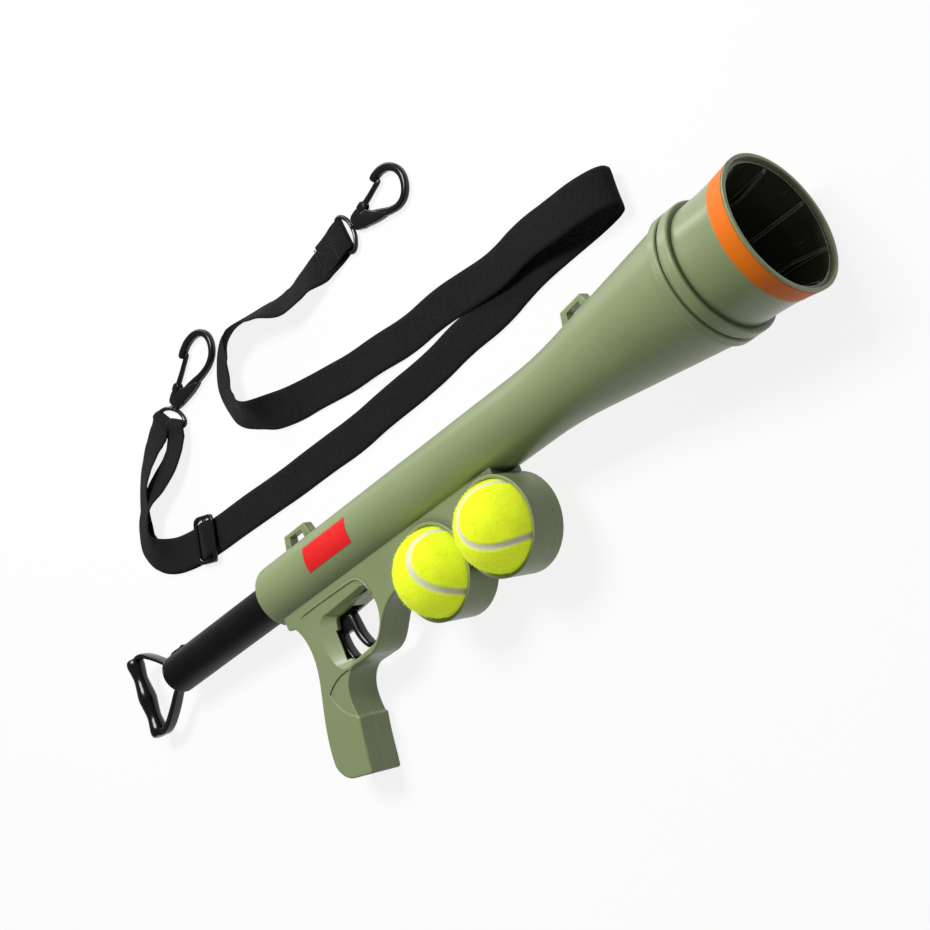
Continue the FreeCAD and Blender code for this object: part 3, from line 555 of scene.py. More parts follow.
def start_material(name):
    """A material with a Principled shader on its surface."""
    material = bpy.data.materials.new(name)
    material.use_nodes = True
    tree = material.node_tree
    tree.nodes.clear()
    shader = tree.nodes.new("ShaderNodeBsdfPrincipled")
    fill(tree, tree.nodes.new("ShaderNodeOutputMaterial"), {"Surface": shader.outputs[0]})
    return material, tree, shader


def grey(tone):
    """A neutral colour."""
    return (tone, tone, tone)


def plastic(name, color, wear_and_highlight, roughness, coat=0.0, coat_rough=0.1, patches=0.05, scuffs=0.1, edges=0.2,
            edge_size=0.0008, grain=900.0, wave=35.0, wave_share=0.5, depth=0.00002, specular=0.5,
            round_r=0.0008, crease=0.0, metallic=0.0):
    """Moulded plastic: grain in its normal, handling marks and painted edge highlights in its colour and roughness,
    painted shade in creases when crease is set, softened edges.
    """
    material, tree, shader = start_material(name)
    # edges and edge_size set the strength and width of the painted edge highlight.
    marks = add(tree, "ShaderNodeGroup", {
        "Color": (*color, 1), "Worn Color": (*wear_and_highlight, 1), "Roughness": roughness, "Patches": patches,
        "Scuffs": scuffs, "Edges": edges, "Edge Size": edge_size,
    }, node_tree=shared(wear_and_highlight_group))
    tone = marks["Color"]
    if crease > 0:
        tone = add(tree, "ShaderNodeGroup", {"Color": tone, "Strength": crease},
                   node_tree=shared(crease_group))["Color"]
    relief = add(tree, "ShaderNodeGroup", {
        "Grain Scale": grain, "Wave Scale": wave, "Wave Share": wave_share,
    }, node_tree=shared(grain_group))["Height"]
    bump = {"Distance": depth, "Strength": 1.0, "Height": relief}
    if round_r > 0:
        bump["Normal"] = add(tree, "ShaderNodeBevel", {"Radius": round_r}, samples=6)["Normal"]
    fill(tree, shader, {
        "Base Color": tone, "Roughness": marks["Roughness"], "Metallic": metallic,
        "Normal": add(tree, "ShaderNodeBump", bump)["Normal"],
        "Coat Weight": coat, "Coat Roughness": coat_rough, "Specular IOR Level": specular,
    })
    return material


def steel(name, color, roughness):
    """Drawn or ground steel with fine scratches."""
    return plastic(name, color, grey(0.8), roughness, patches=0.1, scuffs=0.3, edges=0.3, grain=2500.0,
                   depth=0.00001, round_r=0.0, metallic=1.0)


def webbing(name, color, lit):
    """Black woven webbing."""
    material, tree, shader = start_material(name)
    weave = add(tree, "ShaderNodeGroup", {"Rib Pitch": 0.0016}, node_tree=shared(weave_group))
    fill(tree, shader, {
        "Base Color": mixed(tree, weave["Shade"], (*color, 1), (*lit, 1)),
        "Normal": add(tree, "ShaderNodeBump", {"Distance": 0.00018, "Height": weave["Height"]})["Normal"],
        "Roughness": 0.85, "Specular IOR Level": 0.12, "Sheen Weight": 0.04, "Sheen Roughness": 0.5,
    })
    return material


def felt(name, color, deep, seam):
    """Ball felt: mottled fibre with a painted glow that brightens it, and the pale rubber seam from the mesh's
    attribute.
    """
    material, tree, shader = start_material(name)
    place = object_place(tree)
    mottle = calc(tree, "MULTIPLY", noisy(tree, place, 70.0, 3.0), 0.5)
    both = calc(tree, "MULTIPLY_ADD", noisy(tree, place, 420.0, 5.0, 0.7), 0.6, mottle)
    fibre = mixed(tree, ranged(tree, both, 0.38, 0.66), (*deep, 1), (*color, 1))
    mask = add(tree, "ShaderNodeAttribute", {}, attribute_name="seam")["Fac"]
    bump = {"Distance": 0.0006, "Strength": 0.7, "Height": both}
    fill(tree, shader, {
        "Base Color": mixed(tree, mask, fibre, (*seam, 1)),
        "Normal": add(tree, "ShaderNodeBump", bump)["Normal"],
        "Roughness": 0.95, "Specular IOR Level": 0.1,
        "Sheen Weight": 0.25, "Sheen Roughness": 0.4, "Sheen Tint": (0.95, 1.0, 0.4, 1),
        # Painted light: felt and seam glow a little, though they are no lamp.
        "Emission Color": mixed(tree, mask, (0.78, 0.98, 0.05, 1), (0.25, 0.25, 0.2, 1)),
        "Emission Strength": 0.33,
    })
    return material


def paint(node, material):
    """Gives a CAD node its finish."""
    piece = frame["nodes"][node]
    piece.data.materials.clear()
    piece.data.materials.append(material)


def dress(piece, material, body, slot, *nodes):
    """Material, body, slot and the CAD nodes a new piece stands for."""
    piece.data.materials.clear()
    piece.data.materials.append(material)
    if nodes:
        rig.replaces(piece, *nodes)
    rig.slot(piece, slot)
    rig.ride(piece, body)
    return piece


MATERIALS = {}


def make_materials(look):
    """Makes every finish from the look's colours."""
    olive = tuple(look.olive)
    # A pale olive for the shells' and sleeve's scuffs, which are wear, and for the painted highlights that their edges
    # values put along edges; crease adds painted shade in grooves.
    pale = tuple(min(1.0, c * 1.9 + 0.05) for c in olive)
    MATERIALS.update({
        "olive": plastic(
            "Olive shell plastic", olive, pale, 0.4, coat=0.2, coat_rough=0.26, patches=0.035, scuffs=0.05,
            edges=0.5, edge_size=0.0019, grain=1100.0, wave=30.0, wave_share=0.4, round_r=0.0016,
            crease=0.75),
        "sleeve": plastic(
            "Olive sleeve plastic", olive, pale, 0.34, coat=0.22, coat_rough=0.2, patches=0.03, scuffs=0.04,
            edges=0.45, edge_size=0.0012, grain=1100.0, wave=25.0, wave_share=0.4, depth=0.000015,
            round_r=0.001, crease=0.75),
        "ring": plastic(
            "Orange ring plastic", tuple(look.orange), (1.0, 0.5, 0.25), 0.5, scuffs=0.12, edges=0.15,
            edge_size=0.0004, specular=0.25, round_r=0.0003),
        # The liner's near-black is partly its dark plastic and partly painted shade deep in the muzzle; its pale edges
        # are painted highlights on the ribs.
        "liner": plastic(
            "Dark liner plastic", (0.040, 0.044, 0.026), (0.55, 0.58, 0.44), 0.26, patches=0.15, scuffs=0.15,
            edges=0.9, edge_size=0.0011, grain=700.0, round_r=0.0007),
        "tube": plastic(
            "Black tube plastic", grey(0.0045), grey(0.05), 0.46, patches=0.12, scuffs=0.12, edges=0.15,
            grain=1500.0, depth=0.00001, specular=0.16, round_r=0.0006),
        "gloss": plastic(
            "Glossy black plastic", grey(0.003), grey(0.10), 0.24, coat=0.25, coat_rough=0.05, patches=0.1,
            scuffs=0.06, edges=0.0, grain=300.0, wave=45.0, wave_share=0.8, specular=0.35, round_r=0.0),
        "trigger": plastic(
            "Trigger plastic", grey(0.006), grey(0.08), 0.26, patches=0.1, edges=0.1, round_r=0.0),
        "hook": plastic(
            "Hook nylon", grey(0.004), grey(0.09), 0.22, coat=0.15, coat_rough=0.12, patches=0.1, scuffs=0.12,
            edges=0.1, grain=800.0, specular=0.35, round_r=0.0),
        "wire": plastic(
            "Black ring wire", grey(0.006), grey(0.2), 0.22, coat=0.3, patches=0.1, scuffs=0.3, edges=0.0,
            round_r=0.0),
        "label": plastic(
            "Red label film", tuple(look.red), (0.9, 0.35, 0.3), 0.35, patches=0.04, scuffs=0.12, edges=0.1,
            edge_size=0.0003, grain=600.0, wave=60.0, wave_share=0.6, round_r=0.0),
        "white": plastic("Pale sliding plastic", (0.6, 0.6, 0.57), (0.75, 0.75, 0.72), 0.4, round_r=0.0),
        "cylinder": plastic("Pale cylinder plastic", (0.5, 0.5, 0.48), grey(0.7), 0.3, round_r=0.0),
        "rubber": plastic("Seal rubber", grey(0.015), grey(0.05), 0.6, round_r=0.0),
        "spring": steel("Spring wire", grey(0.5), 0.28),
        "pin": steel("Ground pin steel", (0.55, 0.55, 0.56), 0.2),
        "screw": steel("Blackened screw steel", grey(0.08), 0.35),
        "webbing": webbing("Black webbing", (0.0024, 0.0024, 0.0026), (0.0105, 0.0105, 0.011)),
        "thread": plastic("Black sewing thread", grey(0.012), grey(0.05), 0.6, round_r=0.0),
        "felt": felt(
            "Yellow ball felt", tuple(look.yellow), tuple(c * 0.72 for c in look.yellow), (0.66, 0.67, 0.47)),
    })


def colour_setting(name, description, default):
    """A colour property."""
    return bpy.props.FloatVectorProperty(
        name=name, description=description, subtype="COLOR", size=3, min=0, max=1, default=default)


def length_setting(name, description, default, low, high):
    """A length property in metres."""
    return bpy.props.FloatProperty(
        name=name, description=description, default=default, min=low, max=high, unit="LENGTH")


class LauncherLook(bpy.types.PropertyGroup):
    """Colours of the visible finishes."""

    olive: colour_setting("Olive", "Colour of the moulded shells", (0.235, 0.290, 0.135))
    orange: colour_setting("Orange", "Colour of the ring round the mouth", (0.80, 0.175, 0.004))
    red: colour_setting("Red", "Colour of the bare label", (0.78, 0.012, 0.012))
    yellow: colour_setting("Yellow", "Colour of the balls' felt", (0.72, 0.80, 0.012))


class LauncherSizes(bpy.types.PropertyGroup):
    """Sizes of the pieces that are built here."""

    ball_radius: length_setting("Ball Radius", "Radius of a tennis ball over its felt", 0.033, 0.03, 0.036)
    fibre_length: length_setting("Fibre Length", "Length of the felt's loose fibres", 0.0011, 0.0, 0.003)
    fibre_count: bpy.props.IntProperty(
        name="Fibres", description="Loose fibres on each ball", default=9000, min=0, max=20000)
    webbing_width: length_setting("Webbing Width", "Width of the strap's webbing", 0.030, 0.02, 0.05)
    webbing_thick: length_setting(
        "Webbing Thickness", "Thickness of one layer of webbing", 0.0016, 0.001, 0.003)


class OBJECT_OT_launcher_finishes(bpy.types.Operator):
    """Makes the materials and gives the carried-over pieces theirs"""

    bl_idname = "object.launcher_finishes"
    bl_label = "Finishes"

    def execute(self, context):
        make_materials(context.scene.launcher_look)
        finishes = {
            "olive": ("body_shell_right", "body_shell_left"),
            "sleeve": ("muzzle_sleeve",),
            "ring": ("muzzle_band",),
            "liner": ("muzzle_liner",),
            "tube": ("plunger_tube", "handle_pin"),
            "label": ("barrel_label",),
            "cylinder": ("air_cylinder",),
            "white": ("cylinder_rear_cap", "air_nozzle", "guide_bush", "piston_head", "sear"),
            "rubber": ("piston_seal",),
            "pin": ("trigger_pin", "sear_pin", "hook_a_gate_pin", "hook_b_gate_pin"),
            "screw": ("housing_screws",),
        }
        for material, nodes in finishes.items():
            for node in nodes:
                paint(node, MATERIALS[material])
        return {"FINISHED"}


# Moulded pieces of the launcher, in its own millimetres. Lines in its upright plane are (x, z).

HANDLE_ARM = [
    (-131, 7.4), (-137, 9.2), (-144, 13.6), (-152, 20), (-161, 26.4), (-170, 31.6), (-178, 33.6),
    (-187, 31.8),
]
HANDLE_ARM_WIDTH = 8.6
HANDLE_ARM_SWELL = 1.2
HANDLE_BAR_X = -187
HANDLE_BAR = [
    (-35.4, 3.4), (-34.8, 6.0), (-33, 7.4), (-29.5, 7.8), (-24, 7.0), (-17, 6.2), (-9, 7.0), (0, 8.0),
    (9, 7.0), (17, 6.2), (24, 7.0), (29.5, 7.8), (33, 7.4), (34.8, 6.0), (35.4, 3.4),
]
HANDLE_CAP = [
    (-136.4, 9.0), (-136.2, 13.8), (-135.4, 15.6), (-134.2, 16.4), (-132.8, 16.5), (-132.6, 14.0),
    (-132.4, 13.0), (-109.5, 13.0), (-109.2, 12.0),
]
HANDLE_CLIP = [(-139, 10.6), (-136.4, 14.6), (-132.5, 17.1), (-126, 17.7), (-119.5, 17.4), (-116, 18.3)]
TRIGGER_WEB = [
    (74.5, -33), (89, -33.4), (92, -42), (91.6, -49), (88, -54), (82, -56), (76, -55), (70.5, -50),
    (69, -42), (71, -36),
]
TRIGGER_HUB = [(-5.3, 2.2), (-5.3, 4.4), (-4.7, 5.2), (4.7, 5.2), (5.3, 4.4), (5.3, 2.2)]
TRIGGER_HUB_SPOT = (82, 0, -33)
TRIGGER_ARM = [(82, -31.8), (105, -31.8), (105, -28.6), (82, -28.6)]
TRIGGER_HEEL = [(67, -37), (82, -37), (82, -33), (67, -33)]
FRONT_BLADE = [
    (84, -38, 10), (88.4, -46, 9), (90.2, -54, 7.4), (91.8, -62, 6.2), (95, -69.5, 5.4), (98, -73.6, 4.4),
]
REAR_BLADE = [
    (76, -40, 10), (72.6, -48, 9), (71.4, -56, 7.6), (72, -64, 6.6), (74.2, -71, 5.8), (76.8, -75.6, 4.6),
]
BLADE_WIDTH = 9.6
BEAD_LINE = [
    (50, -29.5), (54, -28.2), (60, -27.8), (80, -27.6), (100, -27.8), (114, -28), (121, -28.8),
    (126, -31.6), (129.6, -36), (131.8, -41.5), (132.6, -47),
]
BEAD_Y = 15.0


def dotted(points, steps, closed=False):
    """A smooth closed or open run of flat points, as pairs."""
    return [(p.x, p.y) for p in smooth_line([Vector((u, v, 0)) for u, v in points], steps, closed)]


class OBJECT_OT_launcher_handle(bpy.types.Operator):
    """Builds the D handle: its end cap, two bowed arms and the waisted bar"""

    bl_idname = "object.launcher_handle"
    bl_label = "Pull Handle"

    def execute(self, context):
        parts = []
        flat = dotted(HANDLE_ARM, 5)
        for side, thick in ((1, 4.2), (-1, 5.6)):
            line = [laid(x, 0, side * z) for x, z in flat]
            sections = []
            for k in range(len(flat)):
                t = k / (len(flat) - 1)
                wide = HANDLE_ARM_WIDTH + HANDLE_ARM_SWELL * math.sin(math.pi * t) ** 2
                high = thick * (0.86 + 0.3 * t * t)
                sections.append(rounded_section(wide * MM, high * MM, 1.7 * MM, 4))
            parts.append(swept("arm", line, sections, laid_way(0, 1, 0)))
        bar = smooth_line([Vector((r, z, 0)) for z, r in HANDLE_BAR], 5)
        parts.append(lathed("bar", [(p.y, p.x) for p in bar], laid(HANDLE_BAR_X, 0, 0), laid_way(0, 0, 1)))
        parts.append(lathed("cap", HANDLE_CAP, laid(0, 0, 0), laid_way(1, 0, 0), 64))
        clip = smooth_line([laid(x, 0, z) for x, z in HANDLE_CLIP], 5)
        parts.append(swept("clip", clip, rounded_section(5.4 * MM, 1.1 * MM, 0.5 * MM), laid_way(0, 1, 0)))
        handle = joined("handle_moulding", parts)
        dress(handle, MATERIALS["gloss"], "plunger", "gloss_black", "pull_handle")
        return {"FINISHED"}


class OBJECT_OT_launcher_trigger(bpy.types.Operator):
    """Builds the trigger: its two curved blades, hub and inner arm"""

    bl_idname = "object.launcher_trigger"
    bl_label = "Trigger"

    def execute(self, context):
        def place(x, z, y):
            return laid(x, y, z)

        parts = [plate_piece("web", dotted(TRIGGER_WEB, 3, closed=True), -4.2, 4.2, 1.2, place)]
        for rows in (FRONT_BLADE, REAR_BLADE):
            rows = smooth_line([Vector(row) for row in rows], 5)
            line = [laid(p.x, 0, p.y) for p in rows]
            sections = [rounded_section(BLADE_WIDTH * MM, p.z * MM, 0.42 * p.z * MM, 4) for p in rows]
            parts.append(swept("blade", line, sections, laid_way(0, 1, 0)))
        parts.append(lathed("hub", TRIGGER_HUB, laid(*TRIGGER_HUB_SPOT), laid_way(0, 1, 0), 40))
        parts.append(plate_piece("arm", TRIGGER_ARM, -3.0, 3.0, 0.4, place))
        parts.append(plate_piece("heel", TRIGGER_HEEL, -3.0, 3.0, 0.4, place))
        lever = joined("trigger_moulding", parts)
        dress(lever, MATERIALS["trigger"], "trigger_lever", "gloss_black", "trigger")
        return {"FINISHED"}


class OBJECT_OT_launcher_beads(bpy.types.Operator):
    """Builds the raised bead over the trigger's frame, on both sides"""

    bl_idname = "object.launcher_beads"
    bl_label = "Frame Beads"

    def execute(self, context):
        parts = []
        flat = dotted(BEAD_LINE, 4)
        for side in (-1, 1):
            line = [laid(x, side * BEAD_Y, z) for x, z in flat]
            sections = []
            for k in range(len(flat)):
                t = k / (len(flat) - 1)
                full = min(1.0, 6 * t + 0.12, 5 * (1 - t) + 0.12)
                sections.append(rounded_section(1.9 * full * MM, 2.6 * full * MM, 0.9 * full * MM, 4))
            parts.append(swept("bead", line, sections, laid_way(0, 1, 0)))
        beads = joined("frame_beads", parts)
        dress(beads, MATERIALS["olive"], "launcher", "olive_shell")
        return {"FINISHED"}


# Each spring's node, fixed end, way, length, coil radius, wire radius and turns, in the launcher's own
# millimetres, then the joint that shortens it and the share of its length that stays.
SPRINGS = (
    ("main_spring", (148.1, 0, 0), (1, 0, 0), 186.8, 18.7, 1.1, 16, "plunger_pull", 0.3576),
    ("trigger_spring", (71, 0, -26.3), (0, 0, -1), 6.5, 1.6, 0.35, 4, "trigger_pull", 0.63),
    ("sear_spring", (124, 0, -39.9), (0, 0, 1), 4.3, 1.8, 0.35, 4, "sear_release", 0.58),
)
TURN_STEPS = 24
WIRE_SIDES = 10


class OBJECT_OT_launcher_springs(bpy.types.Operator):
    """Winds the three springs, which shorten towards their fixed ends"""

    bl_idname = "object.launcher_springs"
    bl_label = "Springs"

    def execute(self, context):
        for node, foot, way, length, radius, wire, turns, joint, keep in SPRINGS:
            axis = Vector(way)
            first = axis.orthogonal().normalized()
            second = axis.cross(first)
            steps = turns * TURN_STEPS
            line = []
            for k in range(steps + 1):
                a = math.tau * turns * k / steps
                rise = wire + (length - 2 * wire) * k / steps
                out = first * math.cos(a) + second * math.sin(a)
                line.append(laid(*(Vector(foot) + axis * rise + out * radius)))
            angles = [math.tau * k / WIRE_SIDES for k in range(WIRE_SIDES)]
            loop = [(wire * MM * math.cos(a), wire * MM * math.sin(a)) for a in angles]
            spring = swept(node + "_coil", line, loop, laid_way(*way))
            dress(spring, MATERIALS["spring"], "launcher", "spring_steel", node)
            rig.squash(spring, joint, axis=tuple(laid_way(*way)), anchor=tuple(laid(*foot)), keep=keep)
        return {"FINISHED"}


# Geometry trees


def planted(tree, points, piece, rotation, scale):
    """A copy of a piece on every point, as one mesh."""
    inputs = {"Points": points, "Instance": piece, "Rotation": rotation, "Scale": scale}
    copies = add(tree, "GeometryNodeInstanceOnPoints", inputs)[0]
    return add(tree, "GeometryNodeRealizeInstances", {"Geometry": copies})[0]


def finished(tree, out, geometry, material):
    """Puts a geometry out with its material."""
    inputs = {"Geometry": geometry, "Material": material}
    fill(tree, out, {0: add(tree, "GeometryNodeSetMaterial", inputs)[0]})


def run_tree(piece, tree, **values):
    """Runs a geometry tree on a piece with its named inputs, and leaves a plain mesh."""
    live = piece.modifiers.new(tree.name, "NODES")
    live.node_group = tree
    for item in tree.interface.items_tree:
        if item.item_type == "SOCKET" and item.in_out == "INPUT" and item.name in values:
            live[item.identifier] = values[item.name]
    return plain_mesh(piece)


# Balls. Sizes are in metres.

SEAM_TURNS = {"ball_front": (-0.4013, -0.3221, -0.8501, -0.112), "ball_rear": (0.412, -0.2209, 0.05, 0.8826)}
SEAM_STEPS = 720
SEAM_HALF_WIDTH = 0.0031
SEAM_FADE = 0.0016
SEAM_DEPTH = 0.00065
LIP_GAP = 0.0038
LIP_WIDTH = 0.001
LIP_HEIGHT = 0.00018
FIBRE_ROOM = 0.0006
FIBRE_WIDTH = 0.00009


def fuzz_tree():
    """Loose fibres that stand on a felt's faces, thin on its seam."""
    tree, given, out = new_group(
        "Felt Fibres", "GeometryNodeTree",
        {"Geometry": "Geometry", "Density": 600000.0, "Length": 0.001, "Width": 0.0001, "Lean": 0.9,
         "Seed": 7, "Material": "Material"},
        {"Geometry": "Geometry"})
    seam = add(tree, "GeometryNodeInputNamedAttribute", {"Name": "seam"})["Attribute"]
    dense = calc(tree, "MULTIPLY", calc(tree, "SUBTRACT", 1.0, seam), given["Density"])
    spots = add(tree, "GeometryNodeDistributePointsOnFaces",
                {"Mesh": given["Geometry"], "Density": dense, "Seed": given["Seed"]})

    def share(key, factor):
        """A share of one of the inputs."""
        return calc(tree, "MULTIPLY", given[key], factor)

    middle = vector(tree, X=share("Length", 0.05), Z=share("Length", 0.62))
    tip = vector(tree, X=share("Length", 0.42), Z=share("Length", 0.95))
    curl = add(tree, "GeometryNodeCurveQuadraticBezier",
               {"Resolution": 2, "Start": (0, 0, 0), "Middle": middle, "End": tip})[0]
    left, right = vector(tree, Y=share("Width", -0.5)), vector(tree, Y=share("Width", 0.5))
    strip = add(tree, "GeometryNodeCurvePrimitiveLine", {"Start": left, "End": right})[0]
    hair = add(tree, "GeometryNodeCurveToMesh", {"Curve": curl, "Profile Curve": strip})[0]
    back = share("Lean", -1.0)
    low = vector(tree, X=back, Y=back, Z=-math.pi)
    high = vector(tree, X=given["Lean"], Y=given["Lean"], Z=math.pi)
    lean = add(tree, "FunctionNodeRandomValue", {"Min": low, "Max": high, "Seed": given["Seed"]},
               data_type="FLOAT_VECTOR")["Value"]
    turn = add(tree, "FunctionNodeEulerToRotation", {"Euler": lean})[0]
    turn = add(tree, "FunctionNodeRotateRotation", {"Rotation": spots["Rotation"], "Rotate By": turn},
               rotation_space="LOCAL")[0]
    size = add(tree, "FunctionNodeRandomValue", {2: 0.45, 3: 1.3, "Seed": given["Seed"]},
               data_type="FLOAT")[1]
    fibres = planted(tree, spots["Points"], hair, turn, size)
    join = tree.nodes.new("GeometryNodeJoinGeometry")
    for part in (given["Geometry"], fibres):
        fill(tree, join, {0: part})
    finished(tree, out, join.outputs[0], given["Material"])
    return tree


def seam_ways(turn):
    """A ball's curved seam as ways from its centre, to look the nearest one up."""
    spin = Quaternion(turn).to_matrix()
    seam = KDTree(SEAM_STEPS)
    for k in range(SEAM_STEPS):
        t = math.tau * k / SEAM_STEPS
        across = 0.75 * math.cos(t) + 0.25 * math.cos(3 * t)
        along = 0.75 * math.sin(t) - 0.25 * math.sin(3 * t)
        way = Vector((across, along, 2 * math.sqrt(0.1875) * math.sin(2 * t)))
        seam.insert(spin @ way.normalized(), k)
    seam.balance()
    return seam


class OBJECT_OT_launcher_balls(bpy.types.Operator):
    """Builds both felt balls with their curved seams and loose fibres"""

    bl_idname = "object.launcher_balls"
    bl_label = "Balls"

    def execute(self, context):
        sizes = context.scene.launcher_sizes
        radius = sizes.ball_radius - FIBRE_ROOM
        area = 4 * math.pi * radius ** 2
        tree = fuzz_tree()
        for node, turn in SEAM_TURNS.items():
            low, high = (Vector(c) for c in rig.box(node))
            centre = (low + high) / 2
            seam = seam_ways(turn)
            bm = bmesh.new()
            bmesh.ops.create_icosphere(bm, subdivisions=6, radius=1.0)
            marks = []
            for v in bm.verts:
                way = v.co.normalized()
                gap = seam.find(way)[2] * radius
                mark = max(0.0, min(1.0, (SEAM_HALF_WIDTH - gap) / SEAM_FADE))
                lumps = 0.00022 * noise.noise(way * 26) + 0.00012 * noise.noise(way * 60)
                lip = LIP_HEIGHT * math.exp(-((gap - LIP_GAP) / LIP_WIDTH) ** 2)
                rise = lumps * (1 - mark) - SEAM_DEPTH * mark + lip
                v.co = centre + way * (radius + rise)
                marks.append(mark)
            ball = from_bmesh(node + "_felt", bm, smooth=True)
            ball.data.attributes.new("seam", "FLOAT", "POINT").data.foreach_set("value", marks)
            run_tree(ball, tree, Density=sizes.fibre_count / area, Length=sizes.fibre_length,
                     Width=FIBRE_WIDTH, Material=MATERIALS["felt"])
            dress(ball, MATERIALS["felt"], node, "ball_felt", node)
        return {"FINISHED"}


# Strap fittings, in their own millimetres. A spot is (x, y, turn) on the floor.

RING_A = (199.0, 229.5, 8.0)
RING_B = (-62.0, 211.0, 31.0)
SLIDE_SPOT = (-68.6, 92.0, 165.0)
HOOK_MIDDLE = 3.0
HOOK_HINGE = (19.0, 5.6, HOOK_MIDDLE)
HOOK_ARM = [
    (13, -5.2, 10.2, 4.6), (18, -6.4, 10.2, 4.8), (25, -8.6, 9.6, 5.2), (33, -12, 7.2, 5.6),
    (41, -16, 5.8, 5.4), (49.5, -18.2, 5.4, 5.4), (57, -16.4, 5.6, 5.4), (62.2, -10.2, 5.8, 5.6),
    (64.2, -1.6, 6.0, 5.8), (62, 6.8, 6.3, 5.8), (56.4, 13.2, 6.7, 5.8), (49.4, 16.4, 7.0, 5.8),
    (43.4, 16.7, 7.2, 5.8), (40.2, 16.2, 7.0, 5.8), (38.2, 15.6, 6.4, 5.4), (37.2, 15.2, 4.4, 4.0),
]
HOOK_BASE = [
    (3.6, -5.2), (6, -7), (12, -9.6), (20, -12.6), (28, -15.2), (35, -16.6), (40, -16.8), (37, -13.2),
    (32, -9.0), (27, -4.8), (23.6, -1.4), (21.4, 1.4), (15.6, 2.1), (15.6, 8.0), (10.5, 7.8), (6, 6.8),
    (3.6, 5.2),
]
HOOK_LUG = [(14.6, 2.2), (21.6, 2.2), (23, 5), (22.2, 8), (19.5, 9.2), (14.6, 8.2)]
GATE_LINE = [
    (18.6, 5.6, 5.0, 3.3), (24, 6.8, 4.7, 3.3), (30, 8.2, 4.4, 3.2), (35, 9.6, 4.2, 3.2),
    (40, 10.9, 4.2, 3.2), (42.4, 11.5, 3.4, 2.6), (43.4, 11.8, 2.0, 1.6),
]
GATE_KNUCKLE = [(-1.65, 1.3), (-1.65, 2.0), (-1.3, 2.4), (1.3, 2.4), (1.65, 2.0), (1.65, 1.3)]
RING_LOOP = [
    (-12.6, 0), (-12.6, 9.5), (-11.8, 14.2), (-8.6, 16.4), (-4.6, 14.6), (-1.2, 9.4), (0.2, 4.6),
    (0.5, 0), (0.2, -4.6), (-1.2, -9.4), (-4.6, -14.6), (-8.6, -16.4), (-11.8, -14.2), (-12.6, -9.5),
]
RING_STEM = [(0.4, 2.9), (1.0, 3.3), (2.4, 3.3), (3.0, 2.4), (3.4, 1.9), (11, 1.9), (11.2, 2.6), (12.3, 2.6)]
SLIDE_HALF_U = 10.8
SLIDE_HALF_V = 18.6
SLIDE_CORNER = 5.2
SLIDE_CORNER_STEPS = 6
SLIDE_BAR = (-17.4, -12, -4, 4, 12, 17.4)


def spot_frame(spot, turn=0.0):
    """A function from a hook's or buckle's own millimetres to the floor, in metres, with a further turn."""
    angle = math.radians(spot[2] + turn)
    c, s = math.cos(angle), math.sin(angle)
    return lambda u, v, w: floor_point(spot[0] + u * c - v * s, spot[1] + u * s + v * c, w)


def flat_bar(name, rows, place, stretch):
    """A bar with round edges on a flat line of (u, v, width, thickness) rows, stretched beyond the hinge."""
    def far(u):
        return HOOK_HINGE[0] + (u - HOOK_HINGE[0]) * stretch if u > HOOK_HINGE[0] else u

    line = smooth_line([Vector((far(u), v, HOOK_MIDDLE)) for u, v, _, _ in rows], 6)
    sizes = smooth_line([Vector((wide, thick, 0)) for _, _, wide, thick in rows], 6)
    points = [place(*p) for p in line]
    sections = []
    for size in sizes:
        wide, thick = max(0.2, size.x), max(0.2, size.y)
        sections.append(rounded_section(thick * MM, wide * MM, min(size.x, size.y) * 0.34 * MM, 4))
    return swept(name, points, sections, UP)


class OBJECT_OT_launcher_hooks(bpy.types.Operator):
    """Builds both snap hooks and their spring gates"""

    bl_idname = "object.launcher_hooks"
    bl_label = "Snap Hooks"

    def execute(self, context):
        for letter, spot, stretch, turn in (("a", RING_A, 1.03, -2), ("b", RING_B, 1.27, -4)):
            place = spot_frame(spot, turn)
            hook = joined("hook_" + letter + "_moulding", [
                flat_bar("arm", HOOK_ARM, place, stretch),
                plate_piece("base", HOOK_BASE, 0.1, 5.9, 1.3, place),
                plate_piece("lug_low", HOOK_LUG, 0.1, 1.1, 0.3, place),
                plate_piece("lug_high", HOOK_LUG, 4.9, 5.9, 0.3, place),
            ])
            dress(hook, MATERIALS["hook"], "hook_" + letter, "hook_plastic", "hook_" + letter + "_body")
            gate = joined("gate_" + letter + "_moulding", [
                flat_bar("blade", GATE_LINE, place, stretch),
                lathed("knuckle", GATE_KNUCKLE, place(*HOOK_HINGE), UP, 32),
            ])
            dress(gate, MATERIALS["hook"], "gate_" + letter, "hook_plastic", "hook_" + letter + "_gate")
        return {"FINISHED"}


class OBJECT_OT_launcher_rings(bpy.types.Operator):
    """Builds the two webbing rings with the headed stems that turn in the hooks"""

    bl_idname = "object.launcher_rings"
    bl_label = "Swivel Rings"

    def execute(self, context):
        for letter, spot, turn, wide in (("a", RING_A, 0, 1.0), ("b", RING_B, 22, 1.16)):
            place = spot_frame(spot)
            skew = spot_frame(spot, turn)
            loop = smooth_line([skew(u, v * wide, HOOK_MIDDLE) for u, v in RING_LOOP], 6, closed=True)
            foot = place(0, 0, HOOK_MIDDLE)
            ring = joined("ring_" + letter + "_moulding", [
                swept("loop", loop, rounded_section(3.6 * MM, 3.6 * MM, 1.7 * MM, 4), UP, closed=True),
                lathed("stem", RING_STEM, foot, place(1, 0, HOOK_MIDDLE) - foot, 32),
            ])
            dress(ring, MATERIALS["wire"], "launcher", "hook_plastic", "hook_" + letter + "_swivel")
        return {"FINISHED"}


